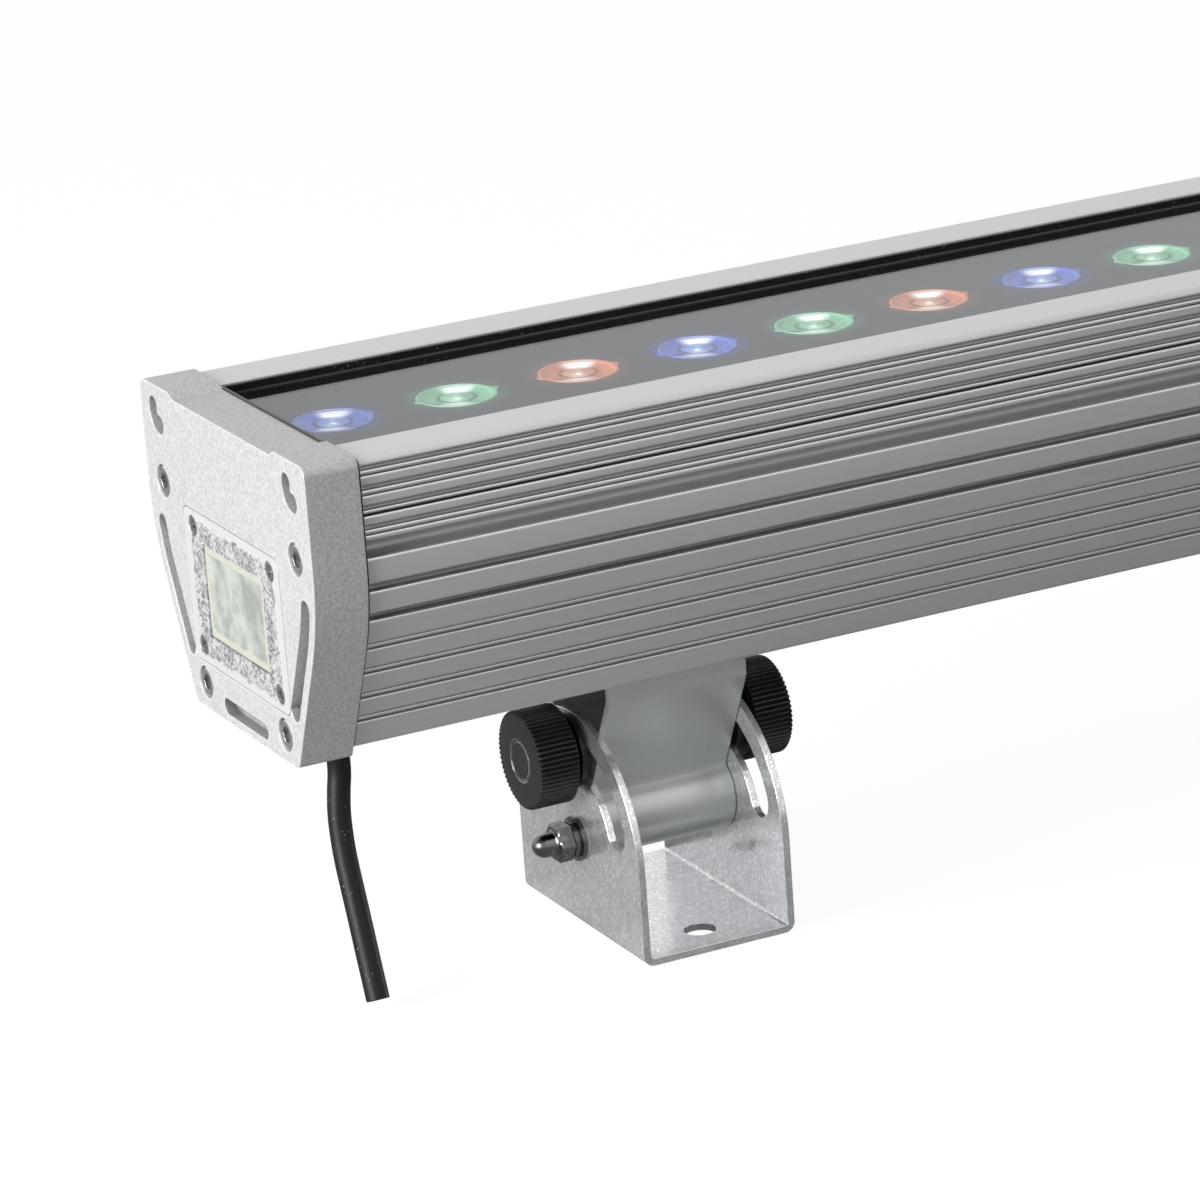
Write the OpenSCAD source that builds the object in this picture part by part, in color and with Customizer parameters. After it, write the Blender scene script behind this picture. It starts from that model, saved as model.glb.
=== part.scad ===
// Linear LED floodlight on two tilting brackets.
// X runs along the bar, Y from front to back, Z up. Z = 0 is the underside of the brackets.

/* [Bar] */
// Overall length of the bar, over both end caps
bar_len = 1000; // [990:1:1200]
// Width of the end caps
cap_w = 110; // [109:0.1:114]
// Height at which the sides of the end caps start to turn in
flank_z = 58; // [56:0.5:60]
// Radius of the turn from the side to the flank
flank_r = 60; // [55:1:65]
// Angle of the sloping flank from the vertical, in degrees
flank_angle = 25; // [24:0.5:26]
// How far the end caps stand proud of the extrusion
lip = 1.1; // [0.6:0.1:1.5]
// Height of the extrusion's rim above the lower edge of the caps
body_top = 85.2; // [84:0.1:88]
// Height of the extrusion's underside above the lower edge of the caps
body_bottom = 2.5; // [2:0.1:3]
// Height from the tilt axis to the lower edge of the caps
pivot_to_cap = 50.5; // [49:0.5:60]

/* [Extrusion] */
// Thickness of the side walls
wall = 5; // [4.8:0.1:6]
// Thickness of the floor
floor_t = 3.2; // [3:0.1:4]
// Thickness of the web that carries the LED board
web_t = 3; // [2.5:0.1:4]
// Distance between the small ribs under the rim
rib_pitch = 5.25; // [5:0.05:5.4]
// Number of grooves between the small ribs on a side
rib_count = 4; // [3:1:4]
// Width of the grooves between the small ribs
rib_gap = 1.4; // [0.8:0.1:1.6]
// Depth of the grooves between the small ribs
rib_depth = 1.2; // [0.8:0.1:1.6]
// Height of the large cove above the lower edge of the caps
cove_z = 61.3; // [60.8:0.1:62]
// Radius of the cove
cove_r = 2.4; // [2:0.1:2.5]
// Depth of the cove
cove_depth = 4.8; // [4:0.1:5]
// Width of the grooves between the large fins
fin_gap = 2.3; // [1.6:0.1:2.6]
// Depth of the grooves between the large fins
fin_depth = 2.2; // [1.6:0.1:2.6]
// Width of the fine grooves on the sloping flank
line_gap = 0.9; // [0.6:0.1:1.2]
// Depth of the fine grooves
line_depth = 0.7; // [0.4:0.1:1]

/* [Glass and panel] */
// Width of the opening in the rim
opening_w = 74.4; // [73:0.1:76]
// Thickness of the cover glass
glass_t = 4; // [3.5:0.1:4.5]
// Depth of the glass below the rim
glass_recess = 3.2; // [2:0.1:4]
// Thickness of the seal round the edge of the glass
seal_t = 1; // [0.8:0.1:1.5]
// Width of the seal's lip under the glass
seal_lip = 2.2; // [1.5:0.1:3]
// Thickness of the panel that the lenses show through
panel_t = 1.5; // [1:0.1:2]

/* [LEDs] */
// Distance from the end of the bar to the middle of its first LED
led_from_end = 32; // [31:0.5:36]
// Number of LEDs
led_count = 27; // [21:3:27]
// Diameter of a lens at its rim
lens_d = 22; // [21:0.5:24]
// Height of a lens
lens_h = 10.8; // [10:0.1:11]
// Width of the LED board
board_w = 44; // [42:1:50]
// Thickness of the circuit boards
board_t = 1.6; // [1:0.1:1.8]

/* [End caps] */
// Thickness of an end cap
cap_t = 15; // [15:0.5:18]
// Thickness of the cap gaskets
gasket_t = 0.8; // [0.5:0.1:1]
// Thickness of a cap's outer wall, where it is cored out behind
cap_wall = 7.5; // [7.2:0.1:7.8]
// Depth of the pockets in the outer face
pocket_depth = 3.5; // [2:0.1:4]
// Diameter of the cap screws
cap_screw_d = 5; // [4:0.5:5]
// Length of the cap screws under the head
cap_screw_len = 25; // [22:1:30]
// Distance of the upper cap screws from the middle
upper_screw_y = 44.3; // [44:0.1:44.6]
// Height of the upper cap screws above the lower edge
upper_screw_z = 59.6; // [59.4:0.1:60]
// Distance of the lower cap screws from the middle
lower_screw_y = 26.7; // [26.2:0.1:27.2]
// Height of the lower cap screws above the lower edge
lower_screw_z = 7.4; // [7.3:0.1:7.7]
// Width of the window frame in the left cap
frame_w = 64; // [63:0.5:64.5]
// Height of the window frame
frame_h = 42.5; // [41.5:0.5:43]
// Thickness of the window frame
frame_t = 2; // [1.8:0.1:2.2]
// Width of the sides of the window frame, beside the pane
frame_side = 12; // [11.5:0.5:13]
// Height of the window frame's rails, over and under the pane
frame_rail = 8.25; // [8:0.05:8.75]

/* [Brackets] */
// Outside width of a bracket
bracket_w = 46; // [44:0.5:50]
// Depth of a bracket from front to back
bracket_d = 74; // [73:0.5:78]
// Thickness of the bracket's sheet
sheet_t = 2; // [1.5:0.1:2.5]
// Distance from the end of the bar to the middle of a bracket
bracket_from_end = 116.5; // [114:0.5:200]
// Height of the tilt axis above the underside of the bracket
pivot_h = 26.4; // [25:0.1:28]
// Radius of the curved slot that the knob studs slide in
slot_r = 25.8; // [25.4:0.1:26.4]
// Width of the curved slot
slot_w = 10.4; // [9.8:0.1:11]
// Angle from the upright to the middle of the slot's ends, in degrees
slot_angle = 71; // [70:0.5:72]
// Diameter of the holes in the base
foot_hole_d = 9; // [6:0.5:10]
// Distance between the two holes in a base
foot_hole_pitch = 50; // [44:0.5:54]

/* [Arms] */
// Width of an arm across its top
arm_top_w = 44; // [43:0.5:46]
// Thickness of the arm's flared walls
arm_wall = 2.2; // [2:0.1:2.5]
// Radius of the barrel at the foot of the arm
barrel_r = 10.5; // [10:0.1:11]
// Height of the barrel's middle above the tilt axis
barrel_up = 4.5; // [4:0.1:5]

/* [Knobs] */
// Diameter of a knob over its ribs
knob_d = 27.6; // [26:0.2:28]
// Length of the ribbed part
knob_len = 12; // [9.5:0.5:13]
// Number of ribs on a knob
knob_ribs = 60; // [48:2:64]
// Diameter of the studs and of the pivot bolts
stud_d = 6; // [5:0.5:6]
// Thickness of the washers under the knobs
knob_washer_t = 1.6; // [1:0.1:2]

/* [Supply cord] */
// Diameter of the supply cord
cord_d = 6.4; // [6:0.1:6.8]
// Distance from the end of the bar to the middle of the cable gland
gland_from_end = 25; // [25:0.5:28]
// How far the gland stands out under the extrusion
gland_drop = 12; // [11.5:0.5:14]

/* [Hidden] */
$fn = 48;

// Overrun of the cuts, clearance of a shaft in its hole, play of parts that lie in a recess
cut = 1;
run_gap = 0.05;
side_gap = 0.2;

// Heights above the lower edge of the caps, and the height of that edge above the ground
bar_z = pivot_h + pivot_to_cap;
floor_top = body_bottom + floor_t;
glass_top = body_top - glass_recess;
glass_bottom = glass_top - glass_t;
panel_top = glass_bottom - seal_t;
shelf_z = panel_top - panel_t;
seal_drop = 0.8;
lens_rise = 0.4;
chip_h = 1.2;
lens_foot = panel_top + lens_rise - lens_h;
board_top = lens_foot - chip_h;
web_top = board_top - board_t;
web_bottom = web_top - web_t;

// Widths and lengths of the bar
cap_half = cap_w / 2;
opening_half = opening_w / 2;
ledge_w = 4.2;
chamber_half = opening_half - ledge_w;
body_len = bar_len - 2 * (cap_t + gasket_t);
glass_w = opening_w - 2 * seal_t;
glass_len = body_len - 2 * seal_t;
led_start = -bar_len / 2 + led_from_end;
led_pitch = -2 * led_start / (led_count - 1);
board_end_gap = 4;

// Corners of the outline, and the shape of a cap's top: low in the middle, raised at both shoulders
cap_mid_drop = 0.4;
shoulder_rise = 1.1;
shoulder_y = 32.6;
shoulder_ramp = 3;
cap_corner_r = 3;
cap_foot_r = 2.5;
body_corner_r = 2.2;
body_foot_r = 2;
arc_steps = 8;
long_arc_steps = 30;

// Grooves of the side: a fine mark lies under each small groove, one of them the seam of the rim
first_rib_drop = 2.3;
mark_drop = 1.9;
mark_gap = 0.5;
mark_depth = 0.6;
seam_gap = 0.8;
seam_depth = 2;
rib_heights = [for (i = [0:rib_count - 1]) body_top - first_rib_drop - i * rib_pitch];
fin_heights = [51, 42.7];
line_heights = [33.3, 25.7, 18, 10.8];
line_split = 1.5;

// Hollows of the extrusion, and the channels for the cap screws
boss_r = 4.6;
chamber_chamfer = 6;
hollow_wall = 3;
hollow_half = cap_half - lip - wall + 0.2 * wall;
cap_screw_places = [[upper_screw_y, upper_screw_z], [-upper_screw_y, upper_screw_z],
    [lower_screw_y, lower_screw_z], [-lower_screw_y, lower_screw_z]];

// Pockets of a cap's face, given as places on the section
slot_pocket_w = 5.6;
slot_pocket_inset = 6;
slot_pocket_turn = 12;
slot_pocket_foot = 16;
bean_r = 3.5;
bean_w = 5.4;
bean_turns = [-95, 20];
bean_places = [[43.3, 79], [-45.7, 78.5]];
low_pocket_half = 12.5;
low_pocket_z = 4.4;
low_pocket_w = 4.6;
counterbore_r = 4.6;
counterbore_depth = 5.2;
core_inset = 10;
core_foot = 9;
core_top = 58;
core_boss_r = 7;
screw_clearance_r = cap_screw_d / 2 + 0.25;
cap_head_r = 4.25;
cap_head_h = 5;
hex_socket_r = 2.3;
hex_socket_depth = 2.6;

// Window of the left cap
window_up = 6.25;
window_z = lower_screw_z + window_up + frame_h / 2;
pane_w = frame_w - 2 * frame_side;
pane_h = frame_h - 2 * frame_rail;
window_gap = 0.3;
window_gasket_t = 0.5;
frame_corner_r = 3;
pane_flange = 2;
pane_flange_t = 1.5;
pane_inset = 0.3;
view_rim = 1;
window_screw_inset = [6.3, 4.5];
window_screw_y = frame_w / 2 - window_screw_inset[0];
window_screw_z = frame_h / 2 - window_screw_inset[1];
window_screw_len = 6.5;
small_screw_r = 1.5;
small_head_r = 2.8;
small_head_h = 1.3;
cross_l = 3.2;
cross_w = 0.7;
cross_depth = 0.8;

// Control board and display behind the window
control_w = 54;
control_h = 35;
control_x = cap_t - 4;
post_y = 23;
post_z = 14;
post_r = 2.6;
display_gap = 2.5;
display_w = pane_w - 2 * display_gap;
display_h = pane_h - 2 * display_gap;
display_x = frame_t + pane_flange_t + 0.5 * board_t;
pan_head_h = 1.8;
pan_screw_len = 5;
board_screw_y = 18;
board_screw_step = 4;

// Lens: a deep cup with a flat rim, a hollow over the LED and a dimple in its face
lens_r = lens_d / 2;
lens_rim_t = 1.4;
lens_foot_r = 6.4;
lens_hollow_r = 3.6;
lens_hollow_h = 5;
dimple_r = 5;
dimple_depth = 0.6;
chip_w = 4.6;
holder_wall = 1.2;
holder_gap = 0.15;
panel_hole_gap = 0.3;
holder_hole_r = 4;

// Driver and terminal block on the floor
driver_x = -150;
driver_len = 220;
driver_w = 42;
driver_h = 32;
driver_ear = 12;
driver_ear_t = 2;
driver_screw_len = 4.5;
terminal_x = 70;
terminal_len = 40;
terminal_w = 20;
terminal_h = 15;
terminal_step_h = 9;
terminal_step_w = 6;

// Cable gland
gland_r = 6;
gland_hex_r = 8;
gland_hex_h = 4.5;
gland_nose_r = 5;
gland_thread_h = 9;
gland_bore_r = 3.4;
gland_face_t = 2;
locknut_r = 9;
locknut_h = 3.5;

// Route of the cord from the gland's face down to its cut end, as shares of the face's height
cord_top = bar_z + body_bottom - gland_drop;
cord_share = [[0, 0, 1], [0, 0, 0.9], [-0.013, -0.01, 0.83], [-0.026, -0.026, 0.75],
    [-0.034, -0.05, 0.66], [-0.039, -0.083, 0.57], [-0.042, -0.124, 0.48], [-0.045, -0.168, 0.39],
    [-0.049, -0.212, 0.305], [-0.053, -0.255, 0.22], [-0.056, -0.296, 0.137], [-0.059, -0.336, 0.055]];
cord_route = [for (p = cord_share) cord_top * p];
cord_sides = 12;

// Arm: heights above the tilt axis
arm_w = bracket_w - 2 * sheet_t - 2 * side_gap;
arm_top = pivot_to_cap + body_bottom;
arm_top_t = 3;
arm_straight = 9;
arm_neck_half = 6;
arm_neck_z = 14.5;
arm_core_z = 33;
arm_bolt_x = 11;
arm_bolt_y = 12;
arm_bolt_r = 3;
arm_bolt_len = 12;
bolt_head_r = 5.5;
bolt_head_h = 4;
nut_plate_l = 36;
nut_plate_w = 38;
nut_plate_t = 4;

// Bracket
bend_r = 3;
ear_r = bracket_d / 2;

// Pivot bolt, washers and domed nut
pivot_r = stud_d / 2;
pivot_head_r = 5.5;
pivot_head_h = 4;
flat_washer_r = 6.3;
flat_washer_t = 1.2;
spring_washer_r = 5.2;
spring_washer_t = 1.7;
spring_gap = 0.6;
nut_r = 5.7;
nut_h = 5.2;
dome_r = 4.7;
dome_neck = 1;
bolt_in_nut = 7.5;

// Knobs, drawn upward from the face of the bracket's ear
knob_hub_r = 9;
knob_hub_t = 2;
knob_rib_depth = 0.6;
knob_edge = 0.8;
plug_r = 5.4;
plug_t = 1.2;
plug_sink = 0.4;
knob_washer_r = 10.5;
stud_in_knob = 8;
stud_in_arm = 12;

// A side of the outline, set in by g, from its corner down to the underside
function flank_arc(g) = [for (i = [0:arc_steps]) let (a = flank_angle * i / arc_steps)
    [cap_half - flank_r + (flank_r - g) * cos(a), flank_z - (flank_r - g) * sin(a)]];
function flank_foot(g, z) = let (p = flank_arc(g)[arc_steps]) [p[0] - (p[1] - z) * tan(flank_angle), z];
function side(g, top, foot, top_r, foot_r) = concat(arc([cap_half - g - top_r, top - top_r], top_r, 90, 0),
    flank_arc(g), arc(flank_foot(g + foot_r, foot + foot_r), foot_r, -flank_angle, -90));
function arc(c, r, a, b, open = 0, steps = arc_steps) = [for (i = [open:steps - open])
    let (t = a + (b - a) * i / steps) [c[0] + r * cos(t), c[1] + r * sin(t)]];
function closed(points) = concat(points, [for (i = [len(points) - 1:-1:0]) [-points[i][0], points[i][1]]]);

// The outline of a round-ended slot that follows a circle from angle a up to angle b
function curved_slot(r, w, a, b, steps) = let (ends = [arc([0, 0], r, a, a)[0], arc([0, 0], r, b, b)[0]])
    concat(arc([0, 0], r + w / 2, a, b, 0, steps), arc(ends[1], w / 2, b, b + 180, 1),
        arc([0, 0], r - w / 2, b, a, 0, steps), arc(ends[0], w / 2, a - 180, a, 1));

// Half the width of the outline, set in by g, and the lean of its side, both at height z
function lean_at(z) = z >= flank_z ? 0 : min(flank_angle, asin(min(1, (flank_z - z) / flank_r)));
function half_at(g, z) = z >= flank_z ? cap_half - g
    : z >= flank_arc(g)[arc_steps][1] ? cap_half - flank_r + sqrt(pow(flank_r - g, 2) - pow(flank_z - z, 2))
    : flank_foot(g, z)[0];

// Stands a section, drawn with y to the right and z up, along X
module along_x(length, centre = true) {
    rotate([90, 0, 90]) linear_extrude(length, center = centre, convexity = 8) children();
}

// The frames of the bar, of its ends (x runs inward) and of the tilt axis in a bracket
module on_bar() {
    translate([0, 0, bar_z]) children();
}

module at_end(s) {
    translate([s * bar_len / 2, 0, bar_z]) rotate([0, 0, s > 0 ? 180 : 0]) children();
}

module at_bracket(s) {
    translate([s * (bar_len / 2 - bracket_from_end), 0, pivot_h]) rotate([0, 0, s > 0 ? 180 : 0]) children();
}

// A hole or shaft along X, from x0 over a length
module bar_x(x0, length, r, y = 0, z = 0) {
    translate([x0, y, z]) rotate([0, 90, 0]) cylinder(r = r, h = length);
}

// Flat shapes: a round-ended slot between two points, and a rectangle with round corners
module slot_2d(a, b, w) {
    for (p = [a, b]) translate(p) circle(d = w);
    translate(a) rotate(atan2(b[1] - a[1], b[0] - a[0])) translate([0, -w / 2]) square([norm(b - a), w]);
}

module rounded_2d(w, h, r) {
    square([w - 2 * r, h], center = true);
    square([w, h - 2 * r], center = true);
    for (sy = [-1, 1], sz = [-1, 1]) translate([sy * (w / 2 - r), sz * (h / 2 - r)]) circle(r = r);
}

// Bar: the extrusion
module groove_2d(z, gap, depth) {
    for (s = [0, 1]) mirror([s, 0]) translate([half_at(lip, z), z]) rotate(-lean_at(z))
        translate([-depth, -gap / 2]) square([depth + cut, gap]);
}

module chamber_2d() {
    g = lip + wall;
    shoulder = web_bottom - chamber_chamfer;
    polygon(closed(concat([[cap_half - g - chamber_chamfer, web_bottom], [half_at(g, shoulder), shoulder]],
        [for (p = flank_arc(g)) if (p[1] < shoulder && p[1] > floor_top) p], [flank_foot(g, floor_top)])));
}

module housing_2d() {
    hollow_y = chamber_half + hollow_wall;
    difference() {
        polygon(closed(side(lip, body_top, body_bottom, body_corner_r, body_foot_r)));
        chamber_2d();
        translate([-opening_half, shelf_z]) square([opening_w, body_top - shelf_z + cut]);
        translate([-chamber_half, web_top]) square([2 * chamber_half, shelf_z - web_top + cut]);
        for (s = [0, 1]) mirror([s, 0]) translate([hollow_y, web_top + hollow_wall])
            square([hollow_half - hollow_y, shelf_z - web_top - 2 * hollow_wall]);
        for (z = rib_heights) groove_2d(z, rib_gap, rib_depth);
        for (z = rib_heights) groove_2d(z - mark_drop, mark_gap, mark_depth);
        groove_2d(rib_heights[2] - mark_drop, seam_gap, seam_depth);
        for (z = fin_heights) groove_2d(z, fin_gap, fin_depth);
        for (z = line_heights) groove_2d(z, line_gap, line_depth);
        for (z = line_heights) groove_2d(z + line_split, mark_gap, line_depth / 2);
        groove_2d(cove_z, 2 * cove_r, cove_depth - cove_r);
        for (s = [-1, 1]) translate([s * (half_at(lip, cove_z) - cove_depth + cove_r), cove_z]) circle(r = cove_r);
    }
}

module housing() {
    color("silver") difference() {
        on_bar() union() {
            along_x(body_len) housing_2d();
            for (p = cap_screw_places) bar_x(-body_len / 2, body_len, boss_r, p[0], p[1]);
        }
        on_bar() for (p = cap_screw_places) bar_x(-bar_len / 2, bar_len, cap_screw_d / 2 + run_gap, p[0], p[1]);
        for (x = board_screw_xs, s = [-1, 1]) translate([x, s * board_screw_y, bar_z + web_bottom - cut])
            cylinder(r = small_screw_r + run_gap, h = web_t + 2 * cut);
        for (s = [-1, 1]) at_bracket(s) arm_bolt_holes(arm_top - cut, floor_t + 2 * cut);
        for (s = [-1, 1]) at_driver_screw(s) translate([0, 0, -driver_screw_len + driver_ear_t])
            cylinder(r = small_screw_r + run_gap, h = driver_screw_len);
        at_end(-1) translate([gland_from_end, 0, body_bottom - cut])
            cylinder(r = gland_r + run_gap, h = floor_t + 2 * cut);
    }
}

// Bar: glass, seal, panel and LEDs
module glass_cover() {
    color("lightcyan", 0.4) on_bar() translate([-glass_len / 2, -glass_w / 2, glass_bottom])
        cube([glass_len, glass_w, glass_t]);
}

module glass_seal() {
    color("black") on_bar() difference() {
        translate([-body_len / 2, -opening_half, panel_top])
            cube([body_len, opening_w, body_top - seal_drop - panel_top]);
        translate([-glass_len / 2, -glass_w / 2, glass_bottom]) cube([glass_len, glass_w, body_top]);
        translate([-glass_len / 2 + seal_lip, -glass_w / 2 + seal_lip, panel_top - cut])
            cube([glass_len - 2 * seal_lip, glass_w - 2 * seal_lip, body_top]);
    }
}

led_xs = [for (i = [0:led_count - 1]) led_start + i * led_pitch];

module at_leds(colour = -1) {
    for (i = [0:led_count - 1]) if (colour < 0 || i % 3 == colour) translate([led_xs[i], 0, bar_z]) children();
}

module lens_panel() {
    len_x = body_len - 2 * side_gap;
    color("gray") difference() {
        on_bar() translate([-len_x / 2, -opening_half + side_gap, shelf_z])
            cube([len_x, opening_w - 2 * side_gap, panel_t]);
        at_leds() translate([0, 0, shelf_z - cut]) cylinder(r = lens_r + panel_hole_gap, h = panel_t + 2 * cut);
    }
}

board_screw_xs = [for (i = [0:board_screw_step:led_count - 2]) led_xs[i] + led_pitch / 2];

module led_board() {
    color("white") difference() {
        on_bar() translate([-body_len / 2 + board_end_gap, -board_w / 2, web_top])
            cube([body_len - 2 * board_end_gap, board_w, board_t]);
        for (x = board_screw_xs, s = [-1, 1]) translate([x, s * board_screw_y, bar_z + web_top - cut])
            cylinder(r = small_screw_r + run_gap, h = board_t + 2 * cut);
    }
}

module led_chips() {
    color("khaki") at_leds() translate([-chip_w / 2, -chip_w / 2, board_top]) cube([chip_w, chip_w, chip_h]);
}

module lens_holders() {
    inner = lens_r + holder_gap;
    color("white") at_leds() translate([0, 0, board_top]) difference() {
        cylinder(r = inner + holder_wall, h = shelf_z - board_top);
        translate([0, 0, chip_h]) cylinder(r = inner, h = lens_h);
        translate([0, 0, -cut]) cylinder(r = holder_hole_r, h = lens_h);
    }
}

module lens() {
    translate([0, 0, lens_foot]) rotate_extrude() polygon([[lens_hollow_r, 0], [lens_foot_r, 0],
        [lens_r, lens_h - lens_rim_t], [lens_r, lens_h], [dimple_r, lens_h], [0, lens_h - dimple_depth],
        [0, lens_hollow_h], [lens_hollow_r, lens_hollow_h]]);
}

module lenses_blue() {
    color("lightblue") at_leds(0) lens();
}

module lenses_green() {
    color("lightgreen") at_leds(1) lens();
}

module lenses_red() {
    color("lightpink") at_leds(2) lens();
}

// End caps
module cap_2d() {
    polygon(closed(concat([[shoulder_y, body_top - cap_mid_drop], [shoulder_y + shoulder_ramp, body_top + shoulder_rise]],
        side(0, body_top + shoulder_rise, 0, cap_corner_r, cap_foot_r))));
}

module core_2d() {
    difference() {
        polygon(closed(concat([[half_at(core_inset, core_top), core_top]],
            [for (p = flank_arc(core_inset)) if (p[1] < core_top && p[1] > core_foot) p],
            [flank_foot(core_inset, core_foot)])));
        for (p = cap_screw_places) translate(p) circle(r = core_boss_r);
    }
}

module side_pocket_2d() {
    centre = [cap_half - flank_r, flank_z];
    r = flank_r - slot_pocket_inset;
    half = slot_pocket_w / 2;
    polygon(concat(arc(centre, r + half, -slot_pocket_turn, -flank_angle),
        arc(flank_foot(slot_pocket_inset, slot_pocket_foot), half, -flank_angle, -flank_angle - 180),
        arc(centre, r - half, -flank_angle, -slot_pocket_turn),
        arc(arc(centre, r, -slot_pocket_turn, 0)[0], half, 180 - slot_pocket_turn, -slot_pocket_turn, 1)));
}

module pockets_2d() {
    for (s = [0, 1]) mirror([s, 0]) side_pocket_2d();
    slot_2d([-low_pocket_half, low_pocket_z], [low_pocket_half, low_pocket_z], low_pocket_w);
    for (p = bean_places) translate(p) polygon(curved_slot(bean_r, bean_w, bean_turns[0], bean_turns[1], arc_steps));
}

module cap_blank() {
    difference() {
        along_x(cap_t, false) cap_2d();
        translate([-cut, 0, 0]) along_x(pocket_depth + cut, false) pockets_2d();
        translate([cap_wall, 0, 0]) along_x(cap_t, false) core_2d();
        for (p = cap_screw_places) {
            bar_x(-cut, counterbore_depth + cut, counterbore_r, p[0], p[1]);
            bar_x(-cut, cap_t + 2 * cut, screw_clearance_r, p[0], p[1]);
        }
    }
}

module end_cap_right() {
    color("gainsboro") at_end(1) cap_blank();
}

module window_screw_places() {
    for (sy = [-1, 1], sz = [-1, 1]) translate([0, sy * window_screw_y, window_z + sz * window_screw_z]) children();
}

module post_places() {
    for (sy = [-1, 1], sz = [-1, 1]) translate([0, sy * post_y, window_z + sz * post_z]) children();
}

module end_cap_left() {
    recess = frame_t + window_gasket_t;
    color("gainsboro") at_end(-1) difference() {
        union() {
            difference() {
                cap_blank();
                translate([-cut, 0, window_z]) along_x(recess + cut, false)
                    rounded_2d(frame_w + 2 * window_gap, frame_h + 2 * window_gap, frame_corner_r + window_gap);
                translate([0, 0, window_z]) along_x(frame_t + pane_flange_t, false)
                    square([pane_w + 2 * pane_flange + 2 * window_gap, pane_h + 2 * pane_flange + 2 * window_gap], center = true);
                translate([0, 0, window_z]) along_x(cap_t, false)
                    square([pane_w - 2 * view_rim, pane_h - 2 * view_rim], center = true);
            }
            post_places() bar_x(cap_wall - cut, control_x - cap_wall + cut, post_r);
        }
        window_screw_places() bar_x(0, cap_wall + cut, small_screw_r + run_gap);
        post_places() bar_x(control_x + board_t - pan_screw_len, cap_t, small_screw_r + run_gap);
    }
}

module cap_gaskets() {
    color("black") for (s = [-1, 1]) at_end(s) translate([cap_t, 0, 0]) along_x(gasket_t, false) difference() {
        polygon(closed(side(lip, body_top, body_bottom, body_corner_r, body_foot_r)));
        core_2d();
        for (p = cap_screw_places) translate(p) circle(r = screw_clearance_r);
    }
}

module cap_screws() {
    color("dimgray") for (s = [-1, 1], p = cap_screw_places) at_end(s) difference() {
        union() {
            bar_x(counterbore_depth - cap_head_h, cap_head_h, cap_head_r, p[0], p[1]);
            bar_x(counterbore_depth - cut, cap_screw_len + cut, cap_screw_d / 2, p[0], p[1]);
        }
        translate([0, p[0], p[1]]) rotate([0, 90, 0])
            cylinder(r = hex_socket_r, h = hex_socket_depth + counterbore_depth - cap_head_h, $fn = 6);
    }
}

// Window of the left cap, with the control board and its display behind it
module window_frame() {
    color("whitesmoke") at_end(-1) difference() {
        translate([0, 0, window_z]) along_x(frame_t, false) difference() {
            rounded_2d(frame_w, frame_h, frame_corner_r);
            square([pane_w, pane_h], center = true);
        }
        window_screw_places() screw_hole();
    }
}

module screw_hole() {
    bar_x(-cut, cap_t, small_screw_r + run_gap);
    bar_x(-cut, small_head_h + cut, small_head_r + run_gap);
}

module window_gasket() {
    color("black") at_end(-1) difference() {
        translate([frame_t, 0, window_z]) along_x(window_gasket_t, false) difference() {
            rounded_2d(frame_w, frame_h, frame_corner_r);
            square([pane_w + 2 * pane_flange + window_gap, pane_h + 2 * pane_flange + window_gap], center = true);
        }
        window_screw_places() bar_x(0, cap_t, small_screw_r + run_gap);
    }
}

module window_pane() {
    color("ivory") at_end(-1) translate([0, 0, window_z]) {
        translate([pane_inset, 0, 0]) along_x(frame_t, false)
            square([pane_w - window_gap, pane_h - window_gap], center = true);
        translate([frame_t, 0, 0]) along_x(pane_flange_t, false)
            square([pane_w + 2 * pane_flange, pane_h + 2 * pane_flange], center = true);
    }
}

// A cross recess, cut into a head whose top lies at x = 0
module cross_cut() {
    for (a = [0, 90]) rotate([a, 0, 0]) translate([-cut, -cross_l / 2, -cross_w / 2])
        cube([cross_depth + cut, cross_l, cross_w]);
}

module window_screws() {
    color("silver") at_end(-1) window_screw_places() difference() {
        union() {
            bar_x(0, small_head_h, small_head_r);
            bar_x(0, window_screw_len, small_screw_r);
        }
        cross_cut();
    }
}

module control_board() {
    color("darkgreen") at_end(-1) difference() {
        translate([control_x, -control_w / 2, window_z - control_h / 2]) cube([board_t, control_w, control_h]);
        post_places() bar_x(0, cap_t, small_screw_r + run_gap);
    }
}

module display_module() {
    color("white") at_end(-1) translate([display_x, -display_w / 2, window_z - display_h / 2])
        cube([control_x - display_x, display_w, display_h]);
}

// A pan-head screw along X, its head's underside at x = 0 and its shaft toward +X
module pan_screw(len = pan_screw_len) {
    difference() {
        union() {
            bar_x(-pan_head_h, pan_head_h, small_head_r);
            bar_x(-pan_head_h, pan_head_h + len, small_screw_r);
        }
        translate([-pan_head_h, 0, 0]) cross_cut();
    }
}

module board_screws() {
    color("silver") {
        at_end(-1) post_places() translate([control_x + board_t, 0, 0]) rotate([0, 0, 180]) pan_screw();
        for (x = board_screw_xs, s = [-1, 1]) translate([x, s * board_screw_y, bar_z + board_top])
            rotate([0, 90, 0]) pan_screw();
    }
}

// Driver and terminal block
module at_driver_screw(s) {
    translate([driver_x + s * (driver_len + driver_ear) / 2, 0, bar_z + floor_top]) children();
}

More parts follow.
